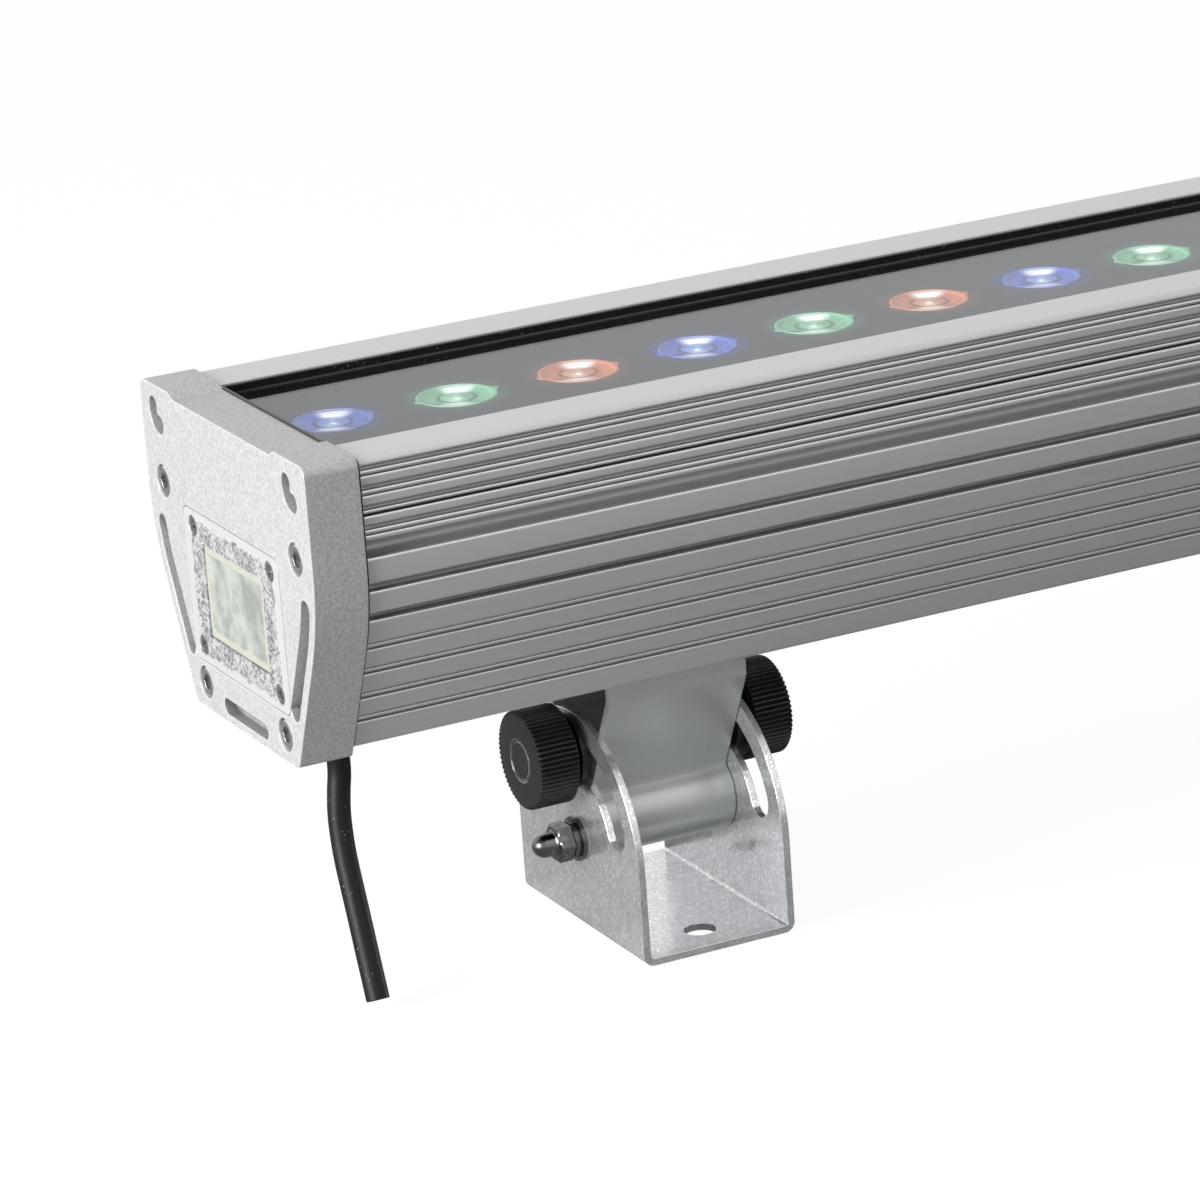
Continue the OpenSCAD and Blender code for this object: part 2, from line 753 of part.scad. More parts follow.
module driver() {
    color("gray") difference() {
        translate([driver_x, 0, bar_z + floor_top]) union() {
            translate([-driver_len / 2, -driver_w / 2, 0]) cube([driver_len, driver_w, driver_h]);
            translate([-driver_len / 2 - driver_ear, -driver_w / 2, 0])
                cube([driver_len + 2 * driver_ear, driver_w, driver_ear_t]);
        }
        for (s = [-1, 1]) at_driver_screw(s) translate([0, 0, -cut])
            cylinder(r = small_screw_r + run_gap, h = driver_ear_t + 2 * cut);
    }
}

module driver_screws() {
    color("silver") for (s = [-1, 1]) at_driver_screw(s) translate([0, 0, driver_ear_t])
        rotate([0, 90, 0]) pan_screw(driver_screw_len - run_gap);
}

module terminal_block() {
    color("beige") at_end(-1) translate([terminal_x, 0, floor_top]) {
        translate([-terminal_len / 2, -terminal_w / 2, 0]) cube([terminal_len, terminal_w, terminal_step_h]);
        translate([-terminal_len / 2, -terminal_w / 2 + terminal_step_w, 0])
            cube([terminal_len, terminal_w - 2 * terminal_step_w, terminal_h]);
    }
}

// Cable gland and cord
module at_gland() {
    at_end(-1) translate([gland_from_end, 0, body_bottom]) children();
}

module cable_gland() {
    color("black") at_gland() difference() {
        union() {
            translate([0, 0, -gland_drop]) cylinder(r = gland_nose_r, h = gland_drop + cut);
            translate([0, 0, -gland_hex_h]) cylinder(r = gland_hex_r, h = gland_hex_h, $fn = 6);
            cylinder(r = gland_r, h = gland_thread_h);
        }
        translate([0, 0, -gland_drop + gland_face_t]) cylinder(r = gland_bore_r, h = gland_drop + gland_thread_h);
    }
}

module gland_locknut() {
    color("black") at_gland() translate([0, 0, floor_t]) difference() {
        cylinder(r = locknut_r, h = locknut_h, $fn = 6);
        translate([0, 0, -cut]) cylinder(r = gland_r + run_gap, h = locknut_h + 2 * cut);
    }
}

function unit(v) = v / norm(v);

// A tube swept along a route, each ring square to the route there
module tube(route, r) {
    last = len(route) - 1;
    way = [for (i = [0:last]) i == 0 ? unit(route[1] - route[0]) : i == last ? unit(route[last] - route[last - 1])
        : unit(unit(route[i + 1] - route[i]) + unit(route[i] - route[i - 1]))];
    points = [for (i = [0:last]) let (u = unit(cross(way[i], [0, 1, 0])), v = cross(way[i], u))
        for (j = [0:cord_sides - 1]) route[i] + r * (cos(360 * j / cord_sides) * u + sin(360 * j / cord_sides) * v)];
    sides = [for (i = [0:last - 1], j = [0:cord_sides - 1]) let (k = (j + 1) % cord_sides)
        [i * cord_sides + j, i * cord_sides + k, (i + 1) * cord_sides + k, (i + 1) * cord_sides + j]];
    first_end = [for (j = [cord_sides - 1:-1:0]) j];
    last_end = [for (j = [0:cord_sides - 1]) last * cord_sides + j];
    polyhedron(points, concat([first_end], sides, [last_end]), convexity = 4);
}

module supply_cord() {
    color("black") translate([-bar_len / 2 + gland_from_end, 0, 0]) tube(cord_route, cord_d / 2);
}

// Arms between the bar and the brackets
module arm_2d() {
    half = arm_top_w / 2;
    bend_z = arm_top - arm_straight;
    slope = (half - arm_neck_half) / (bend_z - arm_neck_z);
    inner_bend = half - arm_wall;
    core_half = half - (bend_z - arm_core_z) * slope - arm_wall * sqrt(1 + slope * slope);
    wall_turn = bend_z + arm_wall * (sqrt(1 + slope * slope) - 1) / slope;
    difference() {
        polygon(closed([[half, arm_top], [half, bend_z], [arm_neck_half, arm_neck_z], [arm_neck_half, barrel_up]]));
        polygon(closed([[inner_bend, arm_top - arm_top_t], [inner_bend, wall_turn], [core_half, arm_core_z]]));
    }
}

module arm_bolt_holes(z, h) {
    for (sx = [-1, 1], sy = [-1, 1]) translate([sx * arm_bolt_x, sy * arm_bolt_y, z])
        cylinder(r = arm_bolt_r + run_gap, h = h);
}

module arm(s) {
    color("gray") at_bracket(s) difference() {
        union() {
            along_x(arm_w) arm_2d();
            bar_x(-arm_w / 2, arm_w, barrel_r, 0, barrel_up);
        }
        bar_x(-arm_w, 2 * arm_w, pivot_r + 2 * run_gap);
        bar_x(-arm_w, 2 * arm_w, pivot_r + run_gap, 0, slot_r);
        arm_bolt_holes(arm_top - arm_top_t - cut, arm_top_t + 2 * cut);
    }
}

module arm_left() {
    arm(-1);
}

module arm_right() {
    arm(1);
}

module arm_bolts() {
    color("silver") for (s = [-1, 1], sx = [-1, 1], sy = [-1, 1])
        at_bracket(s) translate([sx * arm_bolt_x, sy * arm_bolt_y, arm_top - arm_top_t]) {
            translate([0, 0, -bolt_head_h]) cylinder(r = bolt_head_r, h = bolt_head_h, $fn = 6);
            translate([0, 0, -bolt_head_h / 2]) cylinder(r = arm_bolt_r, h = arm_bolt_len + bolt_head_h / 2);
        }
}

module arm_nut_plates() {
    color("silver") for (s = [-1, 1]) at_bracket(s) translate([0, 0, arm_top + floor_t]) difference() {
        translate([-nut_plate_l / 2, -nut_plate_w / 2, 0]) cube([nut_plate_l, nut_plate_w, nut_plate_t]);
        arm_bolt_holes(-cut, nut_plate_t + 2 * cut);
    }
}

// Brackets
module ears_2d() {
    difference() {
        union() {
            circle(r = ear_r);
            translate([-ear_r, -pivot_h]) square([bracket_d, pivot_h]);
        }
        polygon(curved_slot(slot_r, slot_w, 90 - slot_angle, 90 + slot_angle, long_arc_steps));
        circle(r = pivot_r + run_gap);
    }
}

module bent_sheet_2d() {
    inner = bracket_w - 2 * sheet_t;
    tall = pivot_h + ear_r + cut;
    difference() {
        union() {
            translate([-bracket_w / 2, bend_r]) square([bracket_w, tall - bend_r]);
            translate([-bracket_w / 2 + bend_r, 0]) square([bracket_w - 2 * bend_r, bend_r + cut]);
            for (s = [-1, 1]) translate([s * (bracket_w / 2 - bend_r), bend_r]) circle(r = bend_r);
        }
        translate([-inner / 2, bend_r]) square([inner, tall]);
        translate([-bracket_w / 2 + bend_r, sheet_t]) square([bracket_w - 2 * bend_r, tall]);
        for (s = [-1, 1]) translate([s * (bracket_w / 2 - bend_r), bend_r]) circle(r = bend_r - sheet_t);
    }
}

module bracket(s) {
    color("lightgray") at_bracket(s) difference() {
        intersection() {
            translate([0, 0, -pivot_h]) rotate([90, 0, 0]) linear_extrude(bracket_d, center = true) bent_sheet_2d();
            along_x(bracket_w + 2 * cut) ears_2d();
        }
        for (sy = [-1, 1]) translate([0, sy * foot_hole_pitch / 2, -pivot_h - cut])
            cylinder(d = foot_hole_d, h = sheet_t + 2 * cut);
    }
}

module bracket_left() {
    bracket(-1);
}

module bracket_right() {
    bracket(1);
}

// Pivot bolt, washers and nut: the nut stands on the outer ear
module pivot_bolt(s) {
    reach = flat_washer_t + spring_washer_t + bolt_in_nut;
    color("silver") at_bracket(s) {
        bar_x(-bracket_w / 2 - reach, bracket_w + reach + pivot_head_h / 2, pivot_r);
        translate([bracket_w / 2, 0, 0]) rotate([0, 90, 0]) cylinder(r = pivot_head_r, h = pivot_head_h, $fn = 6);
    }
}

module ring_x(x0, length, r) {
    difference() {
        bar_x(x0, length, r);
        bar_x(x0 - cut, length + 2 * cut, pivot_r + run_gap);
    }
}

module flat_washer(s) {
    color("silver") at_bracket(s) ring_x(-bracket_w / 2 - flat_washer_t, flat_washer_t, flat_washer_r);
}

module spring_washer(s) {
    start = -bracket_w / 2 - flat_washer_t - spring_washer_t;
    color("silver") at_bracket(s) difference() {
        ring_x(start, spring_washer_t, spring_washer_r);
        translate([start - cut, -spring_gap / 2, 0]) cube([spring_washer_t + 2 * cut, spring_gap, 2 * spring_washer_r]);
    }
}

module pivot_nut(s) {
    color("silver") at_bracket(s) translate([-bracket_w / 2 - flat_washer_t - spring_washer_t, 0, 0])
        rotate([0, -90, 0]) difference() {
            union() {
                cylinder(r = nut_r, h = nut_h, $fn = 6);
                cylinder(r = dome_r, h = nut_h + dome_neck);
                translate([0, 0, nut_h + dome_neck]) sphere(r = dome_r);
            }
            translate([0, 0, -cut]) cylinder(r = pivot_r + run_gap, h = bolt_in_nut + run_gap + cut);
            translate([0, 0, -nut_h]) cylinder(r = nut_r + cut, h = nut_h);
        }
}

module pivot_bolt_left() {
    pivot_bolt(-1);
}

module flat_washer_left() {
    flat_washer(-1);
}

module spring_washer_left() {
    spring_washer(-1);
}

module pivot_nut_left() {
    pivot_nut(-1);
}

module pivot_bolt_right() {
    pivot_bolt(1);
}

module flat_washer_right() {
    flat_washer(1);
}

module spring_washer_right() {
    spring_washer(1);
}

module pivot_nut_right() {
    pivot_nut(1);
}

// Knobs 1 and 4 stand on the outer ears and knobs 2 and 3 on the inner ones; z runs outward from the ear
module at_knob(k) {
    outward = k == 1 || k == 4 ? -1 : 1;
    at_bracket(k < 3 ? -1 : 1) translate([outward * bracket_w / 2, 0, slot_r]) rotate([0, outward * 90, 0]) children();
}

module ribs_2d() {
    polygon([for (i = [0:4 * knob_ribs - 1]) let (a = 90 * i / knob_ribs,
        r = knob_d / 2 - (i % 4 < 2 ? 0 : knob_rib_depth)) [r * cos(a), r * sin(a)]]);
}

module knob(k) {
    core_r = knob_d / 2 - knob_rib_depth;
    color("black") at_knob(k) translate([0, 0, knob_washer_t]) difference() {
        union() {
            cylinder(r = knob_hub_r, h = knob_hub_t + cut);
            translate([0, 0, knob_hub_t]) cylinder(r = core_r, h = knob_len);
            translate([0, 0, knob_hub_t + knob_edge]) linear_extrude(knob_len - 2 * knob_edge) ribs_2d();
        }
        translate([0, 0, knob_hub_t + knob_len - plug_sink - plug_t]) cylinder(r = plug_r, h = knob_len);
        translate([0, 0, -cut]) cylinder(r = pivot_r, h = stud_in_knob + cut);
    }
}

module knob_stud(k) {
    color("silver") at_knob(k) translate([0, 0, -sheet_t - stud_in_arm])
        cylinder(r = pivot_r, h = stud_in_arm + sheet_t + knob_washer_t + stud_in_knob);
}

module knob_plug(k) {
    color("dimgray") at_knob(k) translate([0, 0, knob_washer_t + knob_hub_t + knob_len - plug_sink - plug_t])
        cylinder(r = plug_r, h = plug_t);
}

module knob_washer(k) {
    color("black") at_knob(k) difference() {
        cylinder(r = knob_washer_r, h = knob_washer_t);
        translate([0, 0, -cut]) cylinder(r = pivot_r + 2 * run_gap, h = knob_washer_t + 2 * cut);
    }
}

housing();
glass_cover();
glass_seal();
lens_panel();
led_board();
led_chips();
lens_holders();
lenses_blue();
lenses_green();
lenses_red();
end_cap_left();
end_cap_right();
cap_gaskets();
cap_screws();
window_frame();
window_gasket();
window_pane();
window_screws();
control_board();
display_module();
board_screws();
driver();
driver_screws();
terminal_block();
cable_gland();
gland_locknut();
supply_cord();
arm_left();
arm_right();
arm_bolts();
arm_nut_plates();
bracket_left();
pivot_bolt_left();
flat_washer_left();
spring_washer_left();
pivot_nut_left();
bracket_right();
pivot_bolt_right();
flat_washer_right();
spring_washer_right();
pivot_nut_right();
knob(1);  // knob_1
knob_stud(1);  // knob_stud_1
knob_plug(1);  // knob_plug_1
knob_washer(1);  // knob_washer_1
knob(2);  // knob_2
knob_stud(2);  // knob_stud_2
knob_plug(2);  // knob_plug_2
knob_washer(2);  // knob_washer_2
knob(3);  // knob_3
knob_stud(3);  // knob_stud_3
knob_plug(3);  // knob_plug_3
knob_washer(3);  // knob_washer_3
knob(4);  // knob_4
knob_stud(4);  // knob_stud_4
knob_plug(4);  // knob_plug_4
knob_washer(4);  // knob_washer_4
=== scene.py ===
"""Linear LED floodlight: its finishes, its small parts and the studio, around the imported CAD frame."""
import math

import bmesh
import bpy
from mathutils import Matrix, Vector


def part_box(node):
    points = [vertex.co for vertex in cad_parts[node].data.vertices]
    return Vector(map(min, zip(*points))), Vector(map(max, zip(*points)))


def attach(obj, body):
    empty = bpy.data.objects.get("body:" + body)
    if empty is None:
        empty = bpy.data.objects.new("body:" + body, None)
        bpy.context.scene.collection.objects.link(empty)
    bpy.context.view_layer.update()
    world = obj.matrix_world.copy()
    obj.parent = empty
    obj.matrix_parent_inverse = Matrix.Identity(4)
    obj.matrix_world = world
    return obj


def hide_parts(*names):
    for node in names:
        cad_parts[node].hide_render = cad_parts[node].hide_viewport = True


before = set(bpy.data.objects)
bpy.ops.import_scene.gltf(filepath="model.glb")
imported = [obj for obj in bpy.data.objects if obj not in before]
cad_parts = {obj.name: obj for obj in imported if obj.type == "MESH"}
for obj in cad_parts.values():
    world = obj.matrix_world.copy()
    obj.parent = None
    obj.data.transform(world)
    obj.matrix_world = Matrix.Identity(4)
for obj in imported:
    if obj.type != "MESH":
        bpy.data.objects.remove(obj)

bl_info = {
    "name": "Linear LED floodlight",
    "version": (1, 0, 0),
    "blender": (4, 5, 0),
    "location": "View3D > Sidebar > Floodlight",
    "description": "Finishes and small parts of a linear LED floodlight",
    "category": "Object",
}

MM = 0.001


def middle(node):
    """Middle of a CAD node's box, in millimetres."""
    return tuple((a + b) / 2 / MM for a, b in zip(*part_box(node)))


def top(node):
    """Height of a CAD node's highest point, in millimetres."""
    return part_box(node)[1][2] / MM


# Places of the parts in millimetres, taken from the CAD frame
BAR_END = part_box("end_cap_right")[1][0] / MM
BAR_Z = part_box("end_cap_left")[0][2] / MM
BRACKET_X = middle("bracket_right")[0]
PIVOT_Z = middle("pivot_bolt_left")[2]
KNOB_Z = middle("knob_1")[2]
LENS_TOP = top("lenses_blue")
WINDOW_Z = middle("window_frame")[2]

# Sizes in millimetres that the pieces made here share with the solids
BRACKET_HALF = 23.0  # from a bracket's middle to the outer face of each ear
PIVOT_WASHERS = 2.9  # plain and spring washer under a domed nut
KNOB_WASHER = 1.6
CAP_SCREW_SEAT = 5.2  # behind the bar's end
CAP_SCREWS = ((44.3, 59.6), (-44.3, 59.6), (26.7, 7.4), (-26.7, 7.4))  # y, and z above the caps' lower edge
WINDOW_SCREW = (25.7, 16.75)  # y and z from the window's middle
HOUSING_LIFT = 2.5  # of the extrusion's underside above the caps' lower edge
LED_COUNT = 27
LED_PITCH = 36.0

# The four knobs: x of the ear that each stands on, and which way it points
KNOBS = {"1": (-BRACKET_X - BRACKET_HALF, -1), "2": (-BRACKET_X + BRACKET_HALF, 1),
         "3": (BRACKET_X - BRACKET_HALF, -1), "4": (BRACKET_X + BRACKET_HALF, 1)}

# Route of the supply cord from the gland's nose to its cut end, in shares of the nose's height
GLAND_NOSE = 9.5  # below the caps' lower edge
CORD_TOP = BAR_Z - GLAND_NOSE
CORD_X = -475.0
CORD_SHARE = [(0, 0, 1), (0, 0, 0.9), (-0.013, -0.01, 0.83), (-0.026, -0.026, 0.75),
              (-0.034, -0.05, 0.66), (-0.039, -0.083, 0.57), (-0.042, -0.124, 0.48),
              (-0.045, -0.168, 0.39), (-0.049, -0.212, 0.305), (-0.053, -0.255, 0.22),
              (-0.056, -0.296, 0.137), (-0.059, -0.336, 0.055)]

# Looks of the lenses: slant and width of the glints, how much of each colour spills onto the panel, and the
# distances from a lens's middle at which that spill ends and is full
GLINT_TURN = math.radians(25)
GLINT_WIDTH = 0.6
SPILL = (0.55, 0.3, 0.3)
SPILL_REACH = (15.5 * MM, 10.5 * MM)

# Where the bright edges, painted highlights that partly stand for wear, begin and are full: by how far the
# broken edge's normal rises over the face's, by the cosine of the turn between the two, and by how open the place
# is; and where the painted shade in grooves and pockets begins and is full
EDGE_RISE = (0.04, 0.22)
EDGE_TURN = (0.99, 0.82)
EDGE_OPEN = (0.45, 0.7)
GROOVE_SHADE_OPEN = (0.85, 0.25)
# Colour that the painted shade in grooves and pockets darkens towards
GROOVE_SHADE = "3A3B3C"

# Small forms: height in millimetres and span of the two ears on a lens rim, half the angle of each arm of a cross
# recess, and points along a rib of a knob
EAR_HEIGHT = 1.3
EAR_SPAN = 0.06
CROSS_ARM = math.radians(15)
STEPS_PER_RIB = 8

# Camera: focal length in millimetres, place in metres, and the axes that point right, up and back
CAMERA_LENS = 167.8
CAMERA_PLACE = (-1.0097, -1.3058, 0.5571)
CAMERA_AXES = ((0.8926, -0.4454, -0.0698), (0.1965, 0.2452, 0.9494), (-0.4057, -0.8611, 0.3064))

# Lamps: name, place and target in metres, diameter and watts
LAMPS = (("key_lamp", (-2.5, -0.35, 0.7), (-0.4, 0, 0.1), 1.3, 66.0),
         ("top_lamp", (-0.3, 0.15, 2.2), (-0.3, 0, 0.1), 0.8, 4.5),
         ("front_lamp", (0.2, -2.2, 1.7), (0, 0, 0.1), 2.0, 4.5))

# Strengths of the white round the object: as light, and in reflections from front to back
AMBIENT = 0.17
ROOM = (0.85, 1.15)
FLOOR_GLOW = 1.18
FLOOR_GLOW_SHARE = 0.8


def colour(code):
    """A linear RGBA colour from an sRGB hex value."""
    parts = [int(code[i:i + 2], 16) / 255 for i in (0, 2, 4)]
    return tuple(c / 12.92 if c <= 0.04045 else ((c + 0.055) / 1.055) ** 2.4 for c in parts) + (1.0,)


class FloodlightSizes(bpy.types.PropertyGroup):
    """Sizes of the small parts that are modelled here."""
    cord_d: bpy.props.FloatProperty(name="Cord diameter", description="Diameter of the supply cord",
                                    default=6.4 * MM, unit="LENGTH")
    knob_r: bpy.props.FloatProperty(name="Knob radius", description="Radius of a knob over its ribs",
                                    default=13.8 * MM, unit="LENGTH")
    knob_ribs: bpy.props.IntProperty(name="Knob ribs", description="Number of ribs round a knob", default=60)
    rib_depth: bpy.props.FloatProperty(name="Rib depth", default=0.75 * MM, unit="LENGTH",
                                       description="Depth of the grooves between a knob's ribs")


class FloodlightColours(bpy.types.PropertyGroup):
    """Colours of the finishes."""
    extrusion: bpy.props.FloatVectorProperty(name="Extrusion", description="Clear-anodised aluminium", size=4,
                                             subtype="COLOR", default=colour("D0D2D2"))
    casting: bpy.props.FloatVectorProperty(name="Casting", description="Silver lacquer of the end caps", size=4,
                                           subtype="COLOR", default=colour("C8C9CA"))
    sheet: bpy.props.FloatVectorProperty(name="Sheet", description="Zinc-coated bracket sheet", size=4,
                                         subtype="COLOR", default=colour("ECEEF1"))
    arm: bpy.props.FloatVectorProperty(name="Arm", description="Satin coat of the arms", size=4,
                                       subtype="COLOR", default=colour("CBCECD"))
    panel: bpy.props.FloatVectorProperty(name="Panel", description="Grey panel round the lenses", size=4,
                                         subtype="COLOR", default=colour("3C424A"))
    blue: bpy.props.FloatVectorProperty(name="Blue lens", description="Tint of the blue lenses", size=4,
                                        subtype="COLOR", default=colour("4464CC"))
    green: bpy.props.FloatVectorProperty(name="Green lens", description="Tint of the green lenses", size=4,
                                         subtype="COLOR", default=colour("7CC49B"))
    red: bpy.props.FloatVectorProperty(name="Red lens", description="Tint of the red lenses", size=4,
                                       subtype="COLOR", default=colour("D8805F"))


# ---- finishes

def add_node(tree, kind, settings=None, inputs=None):
    """Adds a node, sets its fields and fills its inputs with values or links."""
    made = tree.nodes.new(kind)
    for name, value in (settings or {}).items():
        setattr(made, name, value)
    for name, value in (inputs or {}).items():
        if isinstance(value, bpy.types.NodeSocket):
            tree.links.new(value, made.inputs[name])
        else:
            made.inputs[name].default_value = value
    return made


def new_finish(name, **values):
    """A material with one Principled shader; returns the material, its tree and the shader."""
    finish = bpy.data.materials.new(name)
    finish.use_nodes = True
    tree = finish.node_tree
    tree.nodes.clear()
    shader = add_node(tree, "ShaderNodeBsdfPrincipled")
    for key, value in values.items():
        shader.inputs[key.replace("_", " ")].default_value = value
    add_node(tree, "ShaderNodeOutputMaterial", inputs={"Surface": shader.outputs[0]})
    return finish, tree, shader


def show(tree, socket):
    """Puts another shader on a finish's output."""
    out = next(n for n in tree.nodes if n.type == "OUTPUT_MATERIAL")
    tree.links.new(socket, out.inputs["Surface"])


def object_axes(tree):
    """Outputs with x, y and z of a point in object space."""
    return add_node(tree, "ShaderNodeSeparateXYZ", inputs={
        0: add_node(tree, "ShaderNodeTexCoord").outputs["Object"]}).outputs


def seen_rays(tree):
    """1 on rays from the camera, straight or through glass, and 0 on all others."""
    rays = add_node(tree, "ShaderNodeLightPath")
    return add_node(tree, "ShaderNodeMath", {"operation": "MAXIMUM"}, {
        0: rays.outputs["Is Camera Ray"], 1: rays.outputs["Is Transmission Ray"]}).outputs[0]


def grain(tree, size_mm, stretch=(1, 1, 1), detail=2.0, kind="ShaderNodeTexNoise"):
    """A pattern in object space whose features are about size_mm wide; a small stretch draws an axis out."""
    place = add_node(tree, "ShaderNodeTexCoord").outputs["Object"]
    spread = add_node(tree, "ShaderNodeMapping", inputs={
        "Vector": place, "Scale": tuple(s / MM for s in stretch)})
    inputs = {"Vector": spread.outputs[0], "Scale": 1 / size_mm}
    if kind == "ShaderNodeTexNoise":
        inputs["Detail"] = detail
    return add_node(tree, kind, inputs=inputs)


def blend(tree, pattern, start, end, first, second, most=1.0):
    """Goes from the first colour to the second, or to a share of it, where a pattern goes from start to end."""
    amount = add_node(tree, "ShaderNodeMapRange", inputs={
        "Value": pattern, "From Min": start, "From Max": end, "To Max": most})
    return add_node(tree, "ShaderNodeMix", {"data_type": "RGBA"}, {
        0: amount.outputs[0], 6: first, 7: second}).outputs[2]


def vary(tree, shader, field, pattern, start, end, low, high):
    """Takes a field of a shader from low to high where a pattern goes from start to end."""
    value = add_node(tree, "ShaderNodeMapRange", inputs={
        "Value": pattern, "From Min": start, "From Max": end, "To Min": low, "To Max": high})
    tree.links.new(value.outputs[0], shader.inputs[field])


def relief(tree, shader, height, depth_mm, strength, edge_mm=0.0):
    """Gives a shader a bump of depth_mm, over edges that are broken to edge_mm."""
    inputs = {"Height": height, "Distance": depth_mm * MM, "Strength": strength}
    if edge_mm:
        broken = add_node(tree, "ShaderNodeBevel", {"samples": 4}, {"Radius": edge_mm * MM})
        inputs["Normal"] = broken.outputs[0]
    tree.links.new(add_node(tree, "ShaderNodeBump", inputs=inputs).outputs[0], shader.inputs["Normal"])


def shade(rgba, factor):
    """A colour made lighter or darker."""
    return tuple(min(1.0, c * factor) for c in rgba[:3]) + (1.0,)


def edge_wear_highlight_and_shade(tree, shader, tone, edge_mm, bright, hollow_mm, dark, bare=None, upper=False):
    """Paints bright edges and dark grooves onto a tone: the bright edges are painted highlights, partly standing
    for wear, and the dark grooves are painted shade.

    dark is the share of painted shade in the deepest grooves, bare how metallic face and edge are, and upper paints
    the highlights only on the edges that turn up towards the light.
    """
    broken = add_node(tree, "ShaderNodeBevel", {"samples": 8}, {"Radius": edge_mm * MM}).outputs[0]
    face = add_node(tree, "ShaderNodeNewGeometry").outputs["Normal"]
    if upper:
        rise = add_node(tree, "ShaderNodeVectorMath", {"operation": "SUBTRACT"}, {
            0: broken, 1: face}).outputs[0]
        rise = add_node(tree, "ShaderNodeSeparateXYZ", inputs={0: rise}).outputs[2]
        bend = add_node(tree, "ShaderNodeMapRange", inputs={
            "Value": rise, "From Min": EDGE_RISE[0], "From Max": EDGE_RISE[1]})
    else:
        turn = add_node(tree, "ShaderNodeVectorMath", {"operation": "DOT_PRODUCT"}, {
            0: broken, 1: face}).outputs["Value"]
        bend = add_node(tree, "ShaderNodeMapRange", inputs={
            "Value": turn, "From Min": EDGE_TURN[0], "From Max": EDGE_TURN[1]})
    free = add_node(tree, "ShaderNodeAmbientOcclusion", {"samples": 6, "only_local": True}, {
        "Distance": hollow_mm * MM}).outputs["AO"]
    outer = add_node(tree, "ShaderNodeMapRange", inputs={
        "Value": free, "From Min": EDGE_OPEN[0], "From Max": EDGE_OPEN[1]})
    edge = add_node(tree, "ShaderNodeMath", {"operation": "MULTIPLY"}, {
        0: bend.outputs[0], 1: outer.outputs[0]}).outputs[0]
    # Painted shade: the tone darkens towards grey where ambient occlusion finds a groove or pocket
    tone = blend(tree, free, *GROOVE_SHADE_OPEN, tone, colour(GROOVE_SHADE), dark)
    # Painted highlight, partly standing for wear, along the edges that stand out
    tree.links.new(blend(tree, edge, 0, 1, tone, bright), shader.inputs["Base Color"])
    if bare:
        vary(tree, shader, "Metallic", edge, 0, 1, *bare)


def anodised_extrusion(tint):
    """Clear-anodised aluminium: a soft, even sheen, painted highlights on the ridge edges that turn up, painted
    shade in the grooves and faint die lines along the bar.
    """
    finish, tree, shader = new_finish("anodised_aluminium", Metallic=0.4, Roughness=0.36)
    lines = grain(tree, 1.2, stretch=(0.002, 1, 1)).outputs[0]
    tone = blend(tree, lines, 0.35, 0.65, shade(tint, 0.98), shade(tint, 1.02))
    # White painted highlights on the ridge edges that turn up and painted shade in the grooves
    edge_wear_highlight_and_shade(tree, shader, tone, edge_mm=1.3, bright=colour("FFFFFF"), hollow_mm=5.0, dark=0.75, bare=(0.4, 1.0),
         upper=True)
    vary(tree, shader, "Roughness", lines, 0.3, 0.7, 0.34, 0.38)
    relief(tree, shader, lines, depth_mm=0.004, strength=0.2, edge_mm=0.8)
    return finish


def lacquered_casting(tint):
    """Silver lacquer on a sand casting: a pale face with crisp grey specks the size of the sand's grains."""
    finish, tree, shader = new_finish("lacquered_casting", Metallic=0.2, Roughness=0.45, Specular_IOR_Level=0.3)
    grains = grain(tree, 0.42, kind="ShaderNodeTexVoronoi").outputs["Color"]
    clouds = grain(tree, 0.9, detail=3.0).outputs[0]
    mixed = add_node(tree, "ShaderNodeMath", {"operation": "MULTIPLY_ADD"}, {
        0: grains, 1: 0.5, 2: clouds}).outputs[0]
    tone = blend(tree, mixed, 0.45, 0.95, shade(tint, 0.76), shade(tint, 1.12))
    # Painted highlights, partly standing for wear, on the edges and painted shade in the pockets
    edge_wear_highlight_and_shade(tree, shader, tone, edge_mm=0.7, bright=colour("F4F4F5"), hollow_mm=5.0, dark=0.8)
    vary(tree, shader, "Roughness", grains, 0, 1, 0.36, 0.56)
    relief(tree, shader, clouds, depth_mm=0.08, strength=0.5, edge_mm=0.6)
    return finish


def zinc_sheet(tint):
    """Bright zinc on bent sheet: a smooth cool sheen, faint clouds, fine white specks painted as glints, painted
    highlights on the edges and painted shade in the corners.
    """
    finish, tree, shader = new_finish("zinc_coated_sheet", Metallic=0.78, Roughness=0.2)
    sparkles = grain(tree, 0.6, kind="ShaderNodeTexVoronoi").outputs["Color"]
    clouds = grain(tree, 4.0, detail=4.0).outputs[0]
    tone = blend(tree, clouds, 0.35, 0.65, shade(tint, 0.74), shade(tint, 0.86))
    # White specks painted as glints off the zinc
    tone = blend(tree, sparkles, 0.65, 0.85, tone, colour("FFFFFF"))
    # Painted highlights on the edges and painted shade in the corners
    edge_wear_highlight_and_shade(tree, shader, tone, edge_mm=0.4, bright=colour("FFFFFF"), hollow_mm=3.0, dark=0.2, bare=(0.78, 1.0))
    vary(tree, shader, "Roughness", clouds, 0.35, 0.65, 0.14, 0.25)
    relief(tree, shader, clouds, depth_mm=0.03, strength=0.3, edge_mm=0.4)
    return finish


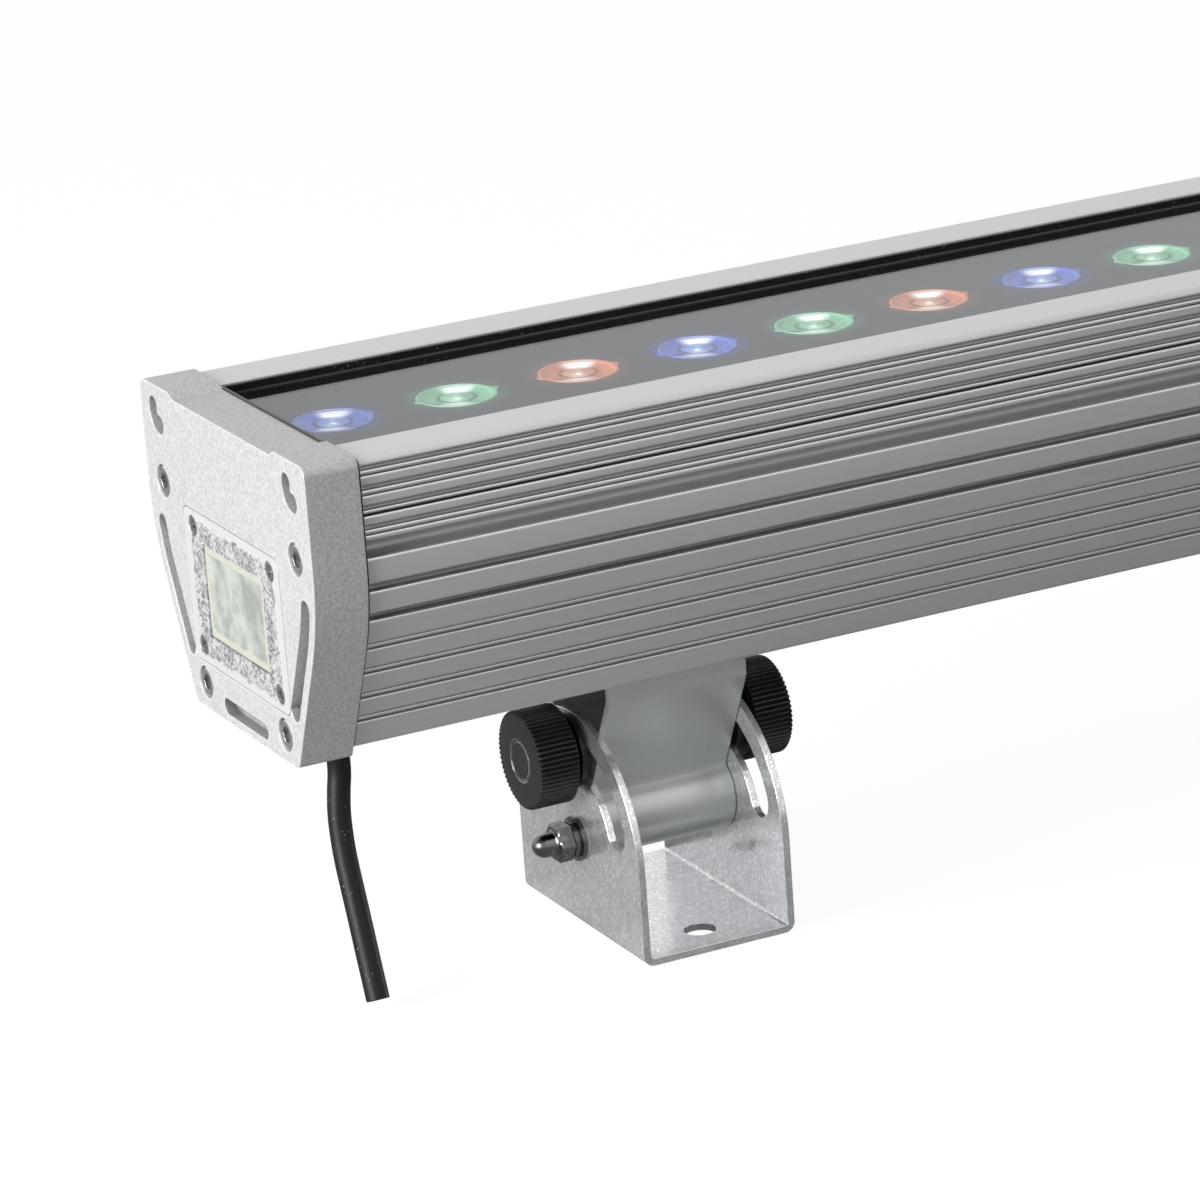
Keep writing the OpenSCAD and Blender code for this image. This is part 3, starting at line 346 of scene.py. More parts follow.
def satin_coat(tint):
    """Satin powder coat on the arms: even and slightly grainy."""
    finish, tree, shader = new_finish("satin_powder_coat", Metallic=0.5, Roughness=0.32)
    fine = grain(tree, 0.6, detail=3.0).outputs[0]
    tone = blend(tree, fine, 0.3, 0.7, shade(tint, 0.95), shade(tint, 1.04))
    tree.links.new(tone, shader.inputs["Base Color"])
    relief(tree, shader, fine, depth_mm=0.02, strength=0.4, edge_mm=0.5)
    return finish


def bright_steel(name="stainless_steel", code="707070"):
    """Turned or plated steel of screws and nuts: clear reflections, faint turning marks."""
    finish, tree, shader = new_finish(name, Metallic=1.0, Roughness=0.18, Base_Color=colour(code))
    fine = grain(tree, 0.5).outputs[0]
    vary(tree, shader, "Roughness", fine, 0.3, 0.7, 0.14, 0.28)
    relief(tree, shader, fine, depth_mm=0.01, strength=0.3, edge_mm=0.15)
    return finish


def plain_finish(name, code, rough, metallic=0.0, grit_mm=0.6, depth_mm=0.03, edge_mm=0.2, spread=0.08):
    """A moulded or painted surface: one colour with a fine uneven grain."""
    finish, tree, shader = new_finish(name, Metallic=metallic, Roughness=rough)
    fine = grain(tree, grit_mm, detail=3.0).outputs[0]
    tint = colour(code)
    tone = blend(tree, fine, 0.3, 0.7, shade(tint, 1 - spread), shade(tint, 1 + spread))
    tree.links.new(tone, shader.inputs["Base Color"])
    vary(tree, shader, "Roughness", fine, 0.3, 0.7, rough - 0.05, rough + 0.07)
    relief(tree, shader, fine, depth_mm, 0.4, edge_mm)
    return finish


def dusty_rubber(name, code, rough, speck_mm=1.6, edge_glint_mm=None):
    """Black rubber or soft vinyl: a dull dark skin, stray pale specks of dust and a pale line painted as the glint
    of a glass edge beside it.

    edge_glint_mm is the height of that line. The specks are drawn coarser than real dust, so that they show.
    """
    finish, tree, shader = new_finish(name, Roughness=rough, Specular_IOR_Level=0.3)
    spots = grain(tree, speck_mm, kind="ShaderNodeTexVoronoi").outputs["Distance"]
    where = grain(tree, 9.0).outputs[0]
    specks = add_node(tree, "ShaderNodeMapRange", inputs={"Value": spots, "From Min": 0.17, "From Max": 0.1})
    patches = add_node(tree, "ShaderNodeMapRange", inputs={"Value": where, "From Min": 0.46, "From Max": 0.56})
    dust = add_node(tree, "ShaderNodeMath", {"operation": "MULTIPLY"}, {
        0: specks.outputs[0], 1: patches.outputs[0]}).outputs[0]
    tone = blend(tree, dust, 0, 1, colour(code), colour("8A8C8A"))
    # A pale line painted on the rubber as the glint of a glass edge, at the given height
    if edge_glint_mm:
        off = add_node(tree, "ShaderNodeMath", {"operation": "SUBTRACT"}, {
            0: object_axes(tree)[2], 1: edge_glint_mm * MM}).outputs[0]
        off = add_node(tree, "ShaderNodeMath", {"operation": "ABSOLUTE"}, {0: off}).outputs[0]
        tone = blend(tree, off, 0.4 * MM, 0.15 * MM, tone, colour("6E7472"), 0.8)
    tree.links.new(tone, shader.inputs["Base Color"])
    skin = grain(tree, 1.0, detail=3.0).outputs[0]
    relief(tree, shader, skin, depth_mm=0.04, strength=0.4)
    return finish


def clear_glass():
    """Toughened cover glass: clear and faintly green, with a coat against glare.

    The low IOR stands for that coat, which reflects less than bare glass.
    """
    finish, tree, shader = new_finish("toughened_glass", Roughness=0.0, IOR=1.3, Transmission_Weight=1.0,
                                      Specular_IOR_Level=0.02, Base_Color=colour("F6F8F8"))
    path = add_node(tree, "ShaderNodeLightPath")
    through = add_node(tree, "ShaderNodeBsdfTransparent", inputs={"Color": colour("F4F6F6")})
    bounced = add_node(tree, "ShaderNodeMath", {"operation": "ADD"}, {
        0: path.outputs["Is Diffuse Ray"], 1: path.outputs["Is Glossy Ray"]})
    plain = add_node(tree, "ShaderNodeMath", {"operation": "MAXIMUM"}, {
        0: path.outputs["Is Shadow Ray"], 1: bounced.outputs[0]})
    show(tree, add_node(tree, "ShaderNodeMixShader", inputs={
        0: plain.outputs[0], 1: shader.outputs[0], 2: through.outputs[0]}).outputs[0])
    return finish


def lens_x(number):
    """Place of a lens along the bar, in millimetres; number 0 is the one at the left."""
    return (number - (LED_COUNT - 1) / 2) * LED_PITCH


def beside_lens(tree, number):
    """Vector along x and y from the middle of the nearest lens of one colour, which every third lens has."""
    axes = object_axes(tree)
    start = lens_x(number) * MM
    reach = 1.5 * LED_PITCH * MM
    along = add_node(tree, "ShaderNodeMath", {"operation": "WRAP"}, {
        0: axes[0], 1: start + reach, 2: start - reach}).outputs[0]
    along = add_node(tree, "ShaderNodeMath", {"operation": "SUBTRACT"}, {0: along, 1: start}).outputs[0]
    return add_node(tree, "ShaderNodeCombineXYZ", inputs={0: along, 1: axes[1]}).outputs[0]


def lens_panel_paint(tint, glows):
    """Satin grey paint on the panel: even, and faintly coloured where a lens spills its light onto it."""
    finish, tree, shader = new_finish("satin_grey_paint", Roughness=0.55, Specular_IOR_Level=0.25)
    fine = grain(tree, 0.8, detail=3.0).outputs[0]
    tone = blend(tree, fine, 0.3, 0.7, shade(tint, 0.97), shade(tint, 1.03))
    for number, (glow, spill) in enumerate(zip(glows, SPILL)):
        far = add_node(tree, "ShaderNodeVectorMath", {"operation": "LENGTH"}, {
            0: beside_lens(tree, number)}).outputs["Value"]
        tone = blend(tree, far, *SPILL_REACH, tone, glow, spill)
    tree.links.new(tone, shader.inputs["Base Color"])
    relief(tree, shader, fine, depth_mm=0.02, strength=0.3, edge_mm=0.1)
    return finish


def tinted_lens(name, number, tint, glow, silver, glint):
    """Moulded acrylic of a lens: polished, tinted through, with two pale wedge-shaped glints across its walls.

    glow is its own light, silver how metallic the wall behind it looks, and glint the strength of the glints.
    """
    finish, tree, shader = new_finish(name, Roughness=0.16, Metallic=silver, Coat_Weight=0.5,
                                      Coat_Roughness=0.04)
    fine = grain(tree, 1.5, detail=1.0).outputs[0]
    slanted = add_node(tree, "ShaderNodeVectorRotate", {"rotation_type": "Z_AXIS"}, {
        "Vector": beside_lens(tree, number), "Angle": GLINT_TURN}).outputs[0]
    slanted = add_node(tree, "ShaderNodeVectorMath", {"operation": "ABSOLUTE"}, {0: slanted}).outputs[0]
    axes = add_node(tree, "ShaderNodeSeparateXYZ", inputs={0: slanted}).outputs
    wedge = add_node(tree, "ShaderNodeMath", {"operation": "MULTIPLY"}, {0: axes[1], 1: GLINT_WIDTH}).outputs[0]
    wedge = add_node(tree, "ShaderNodeMath", {"operation": "SUBTRACT"}, {0: wedge, 1: axes[0]}).outputs[0]
    share = add_node(tree, "ShaderNodeMapRange", inputs={
        "Value": wedge, "From Min": -1.4 * MM, "From Max": 1.6 * MM, "To Max": glint}).outputs[0]
    tone = blend(tree, fine, 0.35, 0.65, shade(tint, 0.93), shade(tint, 1.06))
    tone = blend(tree, share, 0, 1, tone, colour("FFFFFF"))
    tree.links.new(tone, shader.inputs["Base Color"])
    tree.links.new(tone, shader.inputs["Emission Color"])
    vary(tree, shader, "Emission Strength", share, 0, 1, glow, glow + 0.55)
    vary(tree, shader, "Roughness", fine, 0.3, 0.7, 0.1, 0.22)
    return finish


def milky_pane():
    """Moulded milky acrylic over the display: cloudy, with darker patches where the display shows through."""
    finish, tree, shader = new_finish("milky_acrylic", Roughness=0.25, Coat_Weight=0.5, Coat_Roughness=0.08)
    clouds = grain(tree, 8.0, detail=4.0).outputs[0]
    tone = blend(tree, clouds, 0.4, 0.62, colour("979D97"), colour("BFC4BC"))
    flecks = grain(tree, 2.2, detail=3.0).outputs[0]
    tone = blend(tree, flecks, 0.55, 0.7, tone, colour("A9B0AB"), 0.5)
    tree.links.new(tone, shader.inputs["Base Color"])
    relief(tree, shader, clouds, depth_mm=0.05, strength=0.3, edge_mm=0.3)
    return finish


def foil_frame(tint):
    """Crumpled foil under clear film: dark and bright flecks side by side, inside a plain white rim."""
    finish, tree, shader = new_finish("crumpled_foil", Metallic=0.3, Roughness=0.35)
    cells = grain(tree, 0.75, kind="ShaderNodeTexVoronoi").outputs["Color"]
    patches = grain(tree, 5.0, detail=3.0).outputs[0]
    mixed = add_node(tree, "ShaderNodeMath", {"operation": "MULTIPLY_ADD"}, {
        0: cells, 1: 0.7, 2: patches}).outputs[0]
    foil = blend(tree, mixed, 0.62, 1.0, colour("7F8183"), colour("D9DADA"))
    axes = object_axes(tree)
    across = add_node(tree, "ShaderNodeMath", {"operation": "ABSOLUTE"}, {0: axes[1]}).outputs[0]
    height = add_node(tree, "ShaderNodeMath", {"operation": "SUBTRACT"}, {
        0: axes[2], 1: WINDOW_Z * MM}).outputs[0]
    height = add_node(tree, "ShaderNodeMath", {"operation": "ABSOLUTE"}, {0: height}).outputs[0]
    # The foil is 9 mm less high than wide, each way from the middle
    height = add_node(tree, "ShaderNodeMath", {"operation": "ADD"}, {0: height, 1: 9.0 * MM}).outputs[0]
    edge = add_node(tree, "ShaderNodeMath", {"operation": "MAXIMUM"}, {0: across, 1: height}).outputs[0]
    wander = add_node(tree, "ShaderNodeMapRange", inputs={
        "Value": grain(tree, 3.0, detail=3.0).outputs[0], "To Min": -2.2 * MM, "To Max": 2.2 * MM}).outputs[0]
    edge = add_node(tree, "ShaderNodeMath", {"operation": "ADD"}, {0: edge, 1: wander}).outputs[0]
    tree.links.new(blend(tree, edge, 27.4 * MM, 27.8 * MM, foil, tint), shader.inputs["Base Color"])
    inside = add_node(tree, "ShaderNodeMapRange", inputs={
        "Value": edge, "From Min": 27.8 * MM, "From Max": 27.4 * MM}).outputs[0]
    depth = add_node(tree, "ShaderNodeMath", {"operation": "MULTIPLY"}, {0: mixed, 1: inside}).outputs[0]
    relief(tree, shader, depth, depth_mm=0.25, strength=0.6, edge_mm=0.25)
    return finish


# ---- shapes

def round_off(kind, radius, angle, ribs, depth):
    """Radius of a ring at an angle, from half a hex's width across flats or the length of a cross's arm."""
    if kind == "ribbed":
        return radius - depth * (0.5 - 0.5 * math.cos(angle * ribs)) ** 2
    if kind == "hex":
        return radius / math.cos((angle + math.pi / 6) % (math.pi / 3) - math.pi / 6)
    if kind == "cross":
        # A point on an arm's corner counts as its end, hence the 1 percent
        off = abs((angle + math.pi / 4) % (math.pi / 2) - math.pi / 4)
        half = radius * math.tan(CROSS_ARM)
        return radius / math.cos(off) if off < CROSS_ARM * 1.01 else half / math.sin(off)
    if kind == "eared":
        return radius + EAR_HEIGHT * max(0.0, math.cos(2 * angle) - (1 - EAR_SPAN)) / EAR_SPAN
    return radius


def next_ring(bm, edges, finish):
    """Draws a loop of edges out, gives the faces between a finish, and returns the new edges and vertices."""
    made = bmesh.ops.extrude_edge_only(bm, edges=edges)["geom"]
    fresh = {g for g in made if isinstance(g, bmesh.types.BMVert)}
    for face in (g for g in made if isinstance(g, bmesh.types.BMFace)):
        face.material_index = finish
    return [g for g in made if isinstance(g, bmesh.types.BMEdge) and set(g.verts) <= fresh], fresh


def drawn_out(vert, fresh):
    """The vertex of a new ring that was drawn out of vert."""
    return next(e.other_vert(vert) for e in vert.link_edges if e.other_vert(vert) in fresh)


def turned(rows, place, segments=72, ribs=0, depth=0.0):
    """A solid of rings round the Z axis, one per row of (z, radius, kind, finish) in millimetres.

    A row may leave out kind and finish, which are then round and 0. A radius of 0 closes the solid.
    """
    bm = bmesh.new()
    ring = bmesh.ops.create_circle(bm, segments=segments, radius=1.0)["verts"]
    angles = {v: math.atan2(v.co.y, v.co.x) for v in ring}
    edges = list(bm.edges)
    ends = []
    for number, row in enumerate(rows):
        z, radius, kind, finish = (*row, *("round", 0)[len(row) - 2:])
        if number:
            edges, fresh = next_ring(bm, edges, finish)
            angles = {drawn_out(v, fresh): angle for v, angle in angles.items()}
        for v, angle in angles.items():
            # A closing ring keeps a hair's width until its vertices are merged
            r = max(round_off(kind, radius, angle, ribs, depth), 1e-4)
            v.co = Vector((r * math.cos(angle), r * math.sin(angle), z)) * MM
        if radius == 0:
            ends.append(list(angles))
    for end in ends:
        bmesh.ops.pointmerge(bm, verts=end, merge_co=Vector((0, 0, end[0].co.z)))
    open_edges = [e for e in bm.edges if e.is_boundary]
    if open_edges:
        bmesh.ops.holes_fill(bm, edges=open_edges, sides=0)
    bmesh.ops.recalc_face_normals(bm, faces=bm.faces)
    bmesh.ops.transform(bm, matrix=place, verts=bm.verts)
    return bm


def joined(parts):
    """One mesh of several."""
    target, *others = parts
    for other in others:
        held = bpy.data.meshes.new("held")
        other.to_mesh(held)
        other.free()
        target.from_mesh(held)
        bpy.data.meshes.remove(held)
    return target


def at(x, y, z):
    """A place, given in millimetres."""
    return Matrix.Translation(Vector((x, y, z)) * MM)


def along_x(x, y, z, way):
    """A place, in millimetres, whose Z axis points to the right with way 1 and to the left with way -1."""
    return at(x, y, z) @ Matrix.Rotation(way * math.pi / 2, 4, "Y")


def piece(name, bm, body, finishes, nodes, angle=32.0):
    """Turns a bmesh into a finished object that rides on a body and stands for CAD nodes.

    Edges that bend by more than angle degrees are drawn sharp.
    """
    mesh = bpy.data.meshes.new(name)
    bm.to_mesh(mesh)
    bm.free()
    for finish in finishes:
        mesh.materials.append(finish)
    mesh.shade_smooth()
    mesh.set_sharp_from_angle(angle=math.radians(angle))
    made = bpy.data.objects.new(name, mesh)
    bpy.context.scene.collection.objects.link(made)
    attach(made, body)
    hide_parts(*nodes)


def dress(finish, *nodes):
    """Gives CAD nodes a finish."""
    for name in nodes:
        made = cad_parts[name]
        made.data.materials.clear()
        made.data.materials.append(finish)


def colours():
    """The colours set in the sidebar."""
    return bpy.context.scene.floodlight_colours


def sizes():
    """The sizes set in the sidebar."""
    return bpy.context.scene.floodlight_sizes


# ---- operators

class FloodlightStage(bpy.types.Operator):
    """Sets up the camera, the lamps, the floor and the background."""
    bl_idname = "floodlight.stage"
    bl_label = "Studio"

    def execute(self, context):
        scene = context.scene
        scene.view_settings.view_transform = "Standard"
        camera = bpy.data.cameras.new("camera")
        camera.lens = CAMERA_LENS
        camera.sensor_width = 36.0
        camera.clip_end = 20.0
        viewer = bpy.data.objects.new("camera", camera)
        scene.collection.objects.link(viewer)
        turn = Matrix(CAMERA_AXES).transposed().to_4x4()
        viewer.matrix_world = Matrix.Translation(CAMERA_PLACE) @ turn
        scene.camera = viewer
        for lamp in LAMPS:
            self.lamp(*lamp)
        self.world(scene)
        self.floor()
        return {"FINISHED"}

    def lamp(self, name, place, target, size, watts):
        """A round lamp that points at its target."""
        data = bpy.data.lights.new(name, "AREA")
        data.energy = watts
        data.shape = "DISK"
        data.size = size
        made = bpy.data.objects.new(name, data)
        bpy.context.scene.collection.objects.link(made)
        made.location = place
        made.rotation_euler = (Vector(target) - Vector(place)).to_track_quat("-Z", "Y").to_euler()

    def world(self, scene):
        """White where it is seen; a plain room, brighter at the back, in reflections; dim as light."""
        world = bpy.data.worlds.new("studio")
        scene.world = world
        world.use_nodes = True
        tree = world.node_tree
        tree.nodes.clear()
        glossy = add_node(tree, "ShaderNodeLightPath").outputs["Is Glossy Ray"]
        axes = add_node(tree, "ShaderNodeSeparateXYZ", inputs={
            0: add_node(tree, "ShaderNodeTexCoord").outputs["Generated"]}).outputs
        room = add_node(tree, "ShaderNodeMapRange", inputs={
            "Value": axes[1], "From Min": -1.0, "To Min": ROOM[0], "To Max": ROOM[1]}).outputs[0]
        light = add_node(tree, "ShaderNodeMix", {"data_type": "FLOAT"}, {
            0: glossy, 2: AMBIENT, 3: room}).outputs[0]
        strength = add_node(tree, "ShaderNodeMix", {"data_type": "FLOAT"}, {
            0: seen_rays(tree), 2: light, 3: 1.0}).outputs[0]
        shown = add_node(tree, "ShaderNodeBackground", inputs={"Color": colour("FFFFFF"), "Strength": strength})
        add_node(tree, "ShaderNodeOutputWorld", inputs={"Surface": shown.outputs[0]})

    def floor(self):
        """A grey floor under the object that takes its shadow and shines almost white where it is seen."""
        bm = bmesh.new()
        bmesh.ops.create_grid(bm, x_segments=1, y_segments=1, size=6.0)
        mesh = bpy.data.meshes.new("floor")
        bm.to_mesh(mesh)
        bm.free()
        made = bpy.data.objects.new("floor", mesh)
        bpy.context.scene.collection.objects.link(made)
        finish, tree, shader = new_finish("studio_floor", Roughness=0.9, Base_Color=colour("B4B4B4"))
        white = add_node(tree, "ShaderNodeEmission", inputs={"Color": colour("FFFFFF"), "Strength": FLOOR_GLOW})
        share = add_node(tree, "ShaderNodeMath", {"operation": "MULTIPLY"}, {
            0: seen_rays(tree), 1: FLOOR_GLOW_SHARE}).outputs[0]
        show(tree, add_node(tree, "ShaderNodeMixShader", inputs={
            0: share, 1: shader.outputs[0], 2: white.outputs[0]}).outputs[0])
        mesh.materials.append(finish)


class FloodlightCord(bpy.types.Operator):
    """Draws the supply cord from the gland down to its cut end."""
    bl_idname = "floodlight.cord"
    bl_label = "Supply cord"

    def execute(self, context):
        size = sizes()
        points = [Vector((CORD_X + x * CORD_TOP, y * CORD_TOP, z * CORD_TOP)) * MM
                  for x, y, z in CORD_SHARE]
        line = bpy.data.curves.new("supply_cord_line", "CURVE")
        line.dimensions = "3D"
        line.bevel_depth = size.cord_d / 2
        line.bevel_resolution = 8
        line.resolution_u = 6
        line.use_fill_caps = True
        spline = line.splines.new("BEZIER")
        spline.bezier_points.add(len(points) - 1)
        for knot, point in zip(spline.bezier_points, points):
            knot.co = point
            knot.handle_left_type = knot.handle_right_type = "AUTO"
        line.materials.append(dusty_rubber("vinyl_cord_sheath", "0A0B0B", 0.5, speck_mm=1.4))
        made = bpy.data.objects.new("supply_cord_tube", line)
        context.scene.collection.objects.link(made)
        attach(made, "bar")
        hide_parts("supply_cord")
        return {"FINISHED"}


class FloodlightBar(bpy.types.Operator):
    """Finishes the extrusion, its glass, seal and panel, and what lies inside."""
    bl_idname = "floodlight.bar"
    bl_label = "Bar"

    def execute(self, context):
        tint = colours()
        dress(anodised_extrusion(tint.extrusion), "housing")
        dress(clear_glass(), "glass_cover")
        # The seal carries a pale line painted as the glint of the glass's edge, just above the glass
        dress(dusty_rubber("silicone_rubber", "1A1C1C", 0.35, edge_glint_mm=top("glass_cover") + 0.2),
              "glass_seal", "cap_gaskets", "window_gasket")
        dress(lens_panel_paint(tint.panel, (tint.blue, tint.green, tint.red)), "lens_panel")
        # Behind the lenses: a matt white board, yellow resin on the chips and white holders
        dress(plain_finish("white_solder_mask", "DCDDD8", 0.4, edge_mm=0.1), "led_board")
        dress(plain_finish("phosphor_resin", "E2C65A", 0.3, edge_mm=0.1), "led_chips")
        dress(plain_finish("white_reflector", "E8E8E6", 0.35, edge_mm=0.1), "lens_holders")
        # Inside the housing: a glossy green board, a pale display, a dull grey case and ivory plastic
        dress(plain_finish("green_solder_mask", "1F5A34", 0.35, edge_mm=0.1), "control_board")
        dress(plain_finish("display_body", "D8D8D2", 0.4), "display_module")
        dress(plain_finish("painted_case", "8C8E90", 0.5), "driver")
        dress(plain_finish("polyamide", "C6C2B2", 0.5), "terminal_block")
        dress(bright_steel(), "board_screws", "driver_screws", "arm_bolts", "arm_nut_plates")
        dress(plain_finish("black_nylon", "1A1A1B", 0.45), "gland_locknut")
        return {"FINISHED"}


class FloodlightCaps(bpy.types.Operator):
    """Finishes the cast end caps and makes their socket-head screws."""
    bl_idname = "floodlight.caps"
    bl_label = "End caps"

    def execute(self, context):
        dress(lacquered_casting(colours().casting), "end_cap_left", "end_cap_right")
        rows = [(-25, 0), (-25, 2.1), (-24.4, 2.5), (0, 2.5), (0, 4.1), (0.15, 4.25, "ribbed"),
                (4.2, 4.25, "ribbed"), (4.5, 4.15), (4.95, 3.6), (5, 3.4), (5, 2.75), (4.9, 2.1, "hex"),
                (2.5, 2.1, "hex"), (2.1, 0)]
        seat = BAR_END - CAP_SCREW_SEAT
        screws = [turned(rows, along_x(way * seat, y, BAR_Z + z, way), ribs=36, depth=0.12)
                  for way in (-1, 1) for y, z in CAP_SCREWS]
        piece("cap_screw_set", joined(screws), "bar", [bright_steel("zinc_plated_steel", "D2D2D0")],
              ["cap_screws"])
        return {"FINISHED"}


class FloodlightWindow(bpy.types.Operator):
    """Makes the window frame with its crinkled film and the milky pane."""
    bl_idname = "floodlight.window"
    bl_label = "Window"

    def execute(self, context):
        dress(foil_frame(colour("DCDDDD")), "window_frame")
        pane_rows = [(3.4, 22.0, 15.0, 0.5, 0), (2.05, 22.0, 15.0, 0.5, 0), (2.05, 19.85, 12.85, 0.5, 0),
                     (0.6, 19.85, 12.85, 0.5, 0), (0.35, 19.6, 12.6, 0.5, 0), (0.35, 17.8, 10.8, 0.4, 0),
                     (0.7, 17.5, 10.5, 0.4, 1)]
        # Cream plastic, even and slightly shiny, round the milky middle
        cream = plain_finish("cream_rim", "BFBEB4", 0.35)
        piece("window_pane_body", self.framed(pane_rows), "bar", [cream, milky_pane()], ["window_pane"])
        rows = [(-6.4, 0), (-6.4, 1.2), (-6.0, 1.4), (-1.3, 1.4), (-0.7, 2.75), (-0.35, 2.8), (-0.1, 2.5),
                (0, 2.15), (0, 1.75, "cross"), (-0.9, 1.3, "cross"), (-1.0, 0)]
        screws = []
        for sy in (-1, 1):
            for sz in (-1, 1):
                place = along_x(-BAR_END, sy * WINDOW_SCREW[0], WINDOW_Z + sz * WINDOW_SCREW[1], -1)
                # Each cross stopped at its own angle
                turn = Matrix.Rotation(math.radians(25 + 40 * sy + 15 * sz), 4, "Z")
                screws.append(turned(rows, place @ turn, segments=24))
        piece("window_screw_set", joined(screws), "bar", [bright_steel("nickel_plated_steel", "B4B4B2")],
              ["window_screws"])
        return {"FINISHED"}

    def framed(self, rows):
        """Rounded rectangles, one per row of (depth, half width, half height, corner radius, finish)."""
        corner = 6  # edges round a corner
        bm = bmesh.new()
        bmesh.ops.create_circle(bm, segments=4 * (corner + 1), radius=1.0)
        bm.verts.ensure_lookup_table()
        ring = sorted(bm.verts, key=lambda v: math.atan2(v.co.y, v.co.x) % (2 * math.pi))
        edges = list(bm.edges)
        first = edges
        for number, (depth, half_w, half_h, r, finish) in enumerate(rows):
            if number:
                edges, fresh = next_ring(bm, edges, finish)
                ring = [drawn_out(v, fresh) for v in ring]
            for i, v in enumerate(ring):
                turn, step = divmod(i, corner + 1)
                angle = math.pi / 2 * (turn + step / corner)
                sign_y = 1 if turn in (0, 3) else -1
                sign_z = 1 if turn in (0, 1) else -1
                v.co = Vector((-BAR_END + depth, sign_y * (half_w - r) + r * math.cos(angle),
                               WINDOW_Z + sign_z * (half_h - r) + r * math.sin(angle))) * MM
        for loop, finish in ((first, 0), (edges, rows[-1][4])):
            for face in bmesh.ops.holes_fill(bm, edges=loop, sides=0)["faces"]:
                face.material_index = finish
        bmesh.ops.recalc_face_normals(bm, faces=bm.faces)
        return bm


class FloodlightLenses(bpy.types.Operator):
    """Makes the lenses, each a moulded cup with a stepped bowl."""
    bl_idname = "floodlight.lenses"
    bl_label = "Lenses"

    def execute(self, context):
        tint = colours()
        rows = [(-10.8, 6.4), (-1.4, 10.95), (-0.36, 11.0), (-0.3, 11.0, "eared"), (-0.12, 10.9, "eared"),
                (0.0, 10.7), (-0.02, 10.2), (-0.25, 9.7), (-0.8, 9.0, "round", 1), (-1.9, 7.4, "round", 1),
                (-2.4, 6.2, "round", 1), (-2.5, 5.6, "round", 3), (-2.3, 5.1, "round", 3),
                (-1.7, 4.5, "round", 2), (-1.0, 3.4, "round", 2), (-0.55, 2.3, "round", 2),
                (-0.3, 1.2, "round", 2), (-0.2, 0.0, "round", 2)]
        under = [(-10.8, 6.4), (-10.8, 3.6), (-6.6, 3.2), (-5.6, 2.2), (-5.2, 0.0)]
        full = rows[::-1] + under[1:]
        lenses = (("blue", tint.blue, "7F9BE6"), ("green", tint.green, "8FD0A8"), ("red", tint.red, "E09A80"))
        for number, (name, hue, heart) in enumerate(lenses):
            # Tint, glow, silver and glint of the rim, the bowl's wall, the dome in it and the step round that; the
            # rim's lighter and the step's darker copy of the one tint are painted light and shade
            looks = (("acrylic_rim_", shade(hue, 1.3), 0.1, 0.0, 0.3),
                     ("acrylic_bowl_", tuple(hue), 0.18, 0.4, 0.75),
                     ("acrylic_heart_", colour(heart), 0.12, 0.4, 0.35),
                     ("acrylic_step_", shade(hue, 0.6), 0.05, 0.4, 0.3))
            finishes = [tinted_lens(look + name, number, *values) for look, *values in looks]
            group = joined([turned(full, at(lens_x(i), 0, LENS_TOP), segments=64)
                            for i in range(number, LED_COUNT, 3)])
            piece("lens_set_" + name, group, "bar", finishes, ["lenses_" + name], angle=40.0)
        return {"FINISHED"}


class FloodlightGland(bpy.types.Operator):
    """Makes the cable gland under the bar: a hexagonal nut with a domed, ribbed nose."""
    bl_idname = "floodlight.gland"
    bl_label = "Cable gland"

    def execute(self, context):
        rows = [(9.0, 3.4), (9.0, 5.6), (8.6, 6.0), (0.0, 6.0), (0.0, 7.0, "hex"), (-4.2, 7.0, "hex"),
                (-4.6, 6.2), (-5.0, 5.9), (-5.2, 5.0, "ribbed"), (-9.5, 5.0, "ribbed"), (-10.8, 4.6),
                (-11.7, 3.9), (-12.0, 3.3), (-12.0, 0.0)]
        body = turned(rows, at(CORD_X, 0, BAR_Z + HOUSING_LIFT), ribs=12, depth=0.5)
        # Black nylon with a dull, even skin
        piece("cable_gland_body", body, "bar", [plain_finish("moulded_nylon", "1C1C1D", 0.45)], ["cable_gland"])
        return {"FINISHED"}


class FloodlightBrackets(bpy.types.Operator):
    """Finishes the brackets, arms, washers and pivot bolts, and makes the domed nuts."""
    bl_idname = "floodlight.brackets"
    bl_label = "Brackets and arms"

    def execute(self, context):
        tint = colours()
        steel = bright_steel()
        dress(zinc_sheet(tint.sheet), "bracket_left", "bracket_right")
        dress(satin_coat(tint.arm), "arm_left", "arm_right")
        rows = [(0.0, 3.1), (0.0, 4.6), (0.35, 4.94, "hex"), (4.2, 4.94, "hex"), (4.6, 4.7), (4.7, 3.9),
                (5.1, 3.5), (5.6, 3.4), (7.8, 3.35), (8.8, 3.05), (9.7, 2.4), (10.4, 1.5), (10.72, 0.7),
                (10.8, 0.0)]
        for side, way in (("left", -1), ("right", 1)):
            dress(steel, "pivot_bolt_" + side, "flat_washer_" + side, "spring_washer_" + side)
            place = along_x(way * (BRACKET_X + BRACKET_HALF + PIVOT_WASHERS), 0, PIVOT_Z, way)
            piece("domed_nut_" + side, turned(rows, place), side + "_bracket", [steel], ["pivot_nut_" + side])
        return {"FINISHED"}


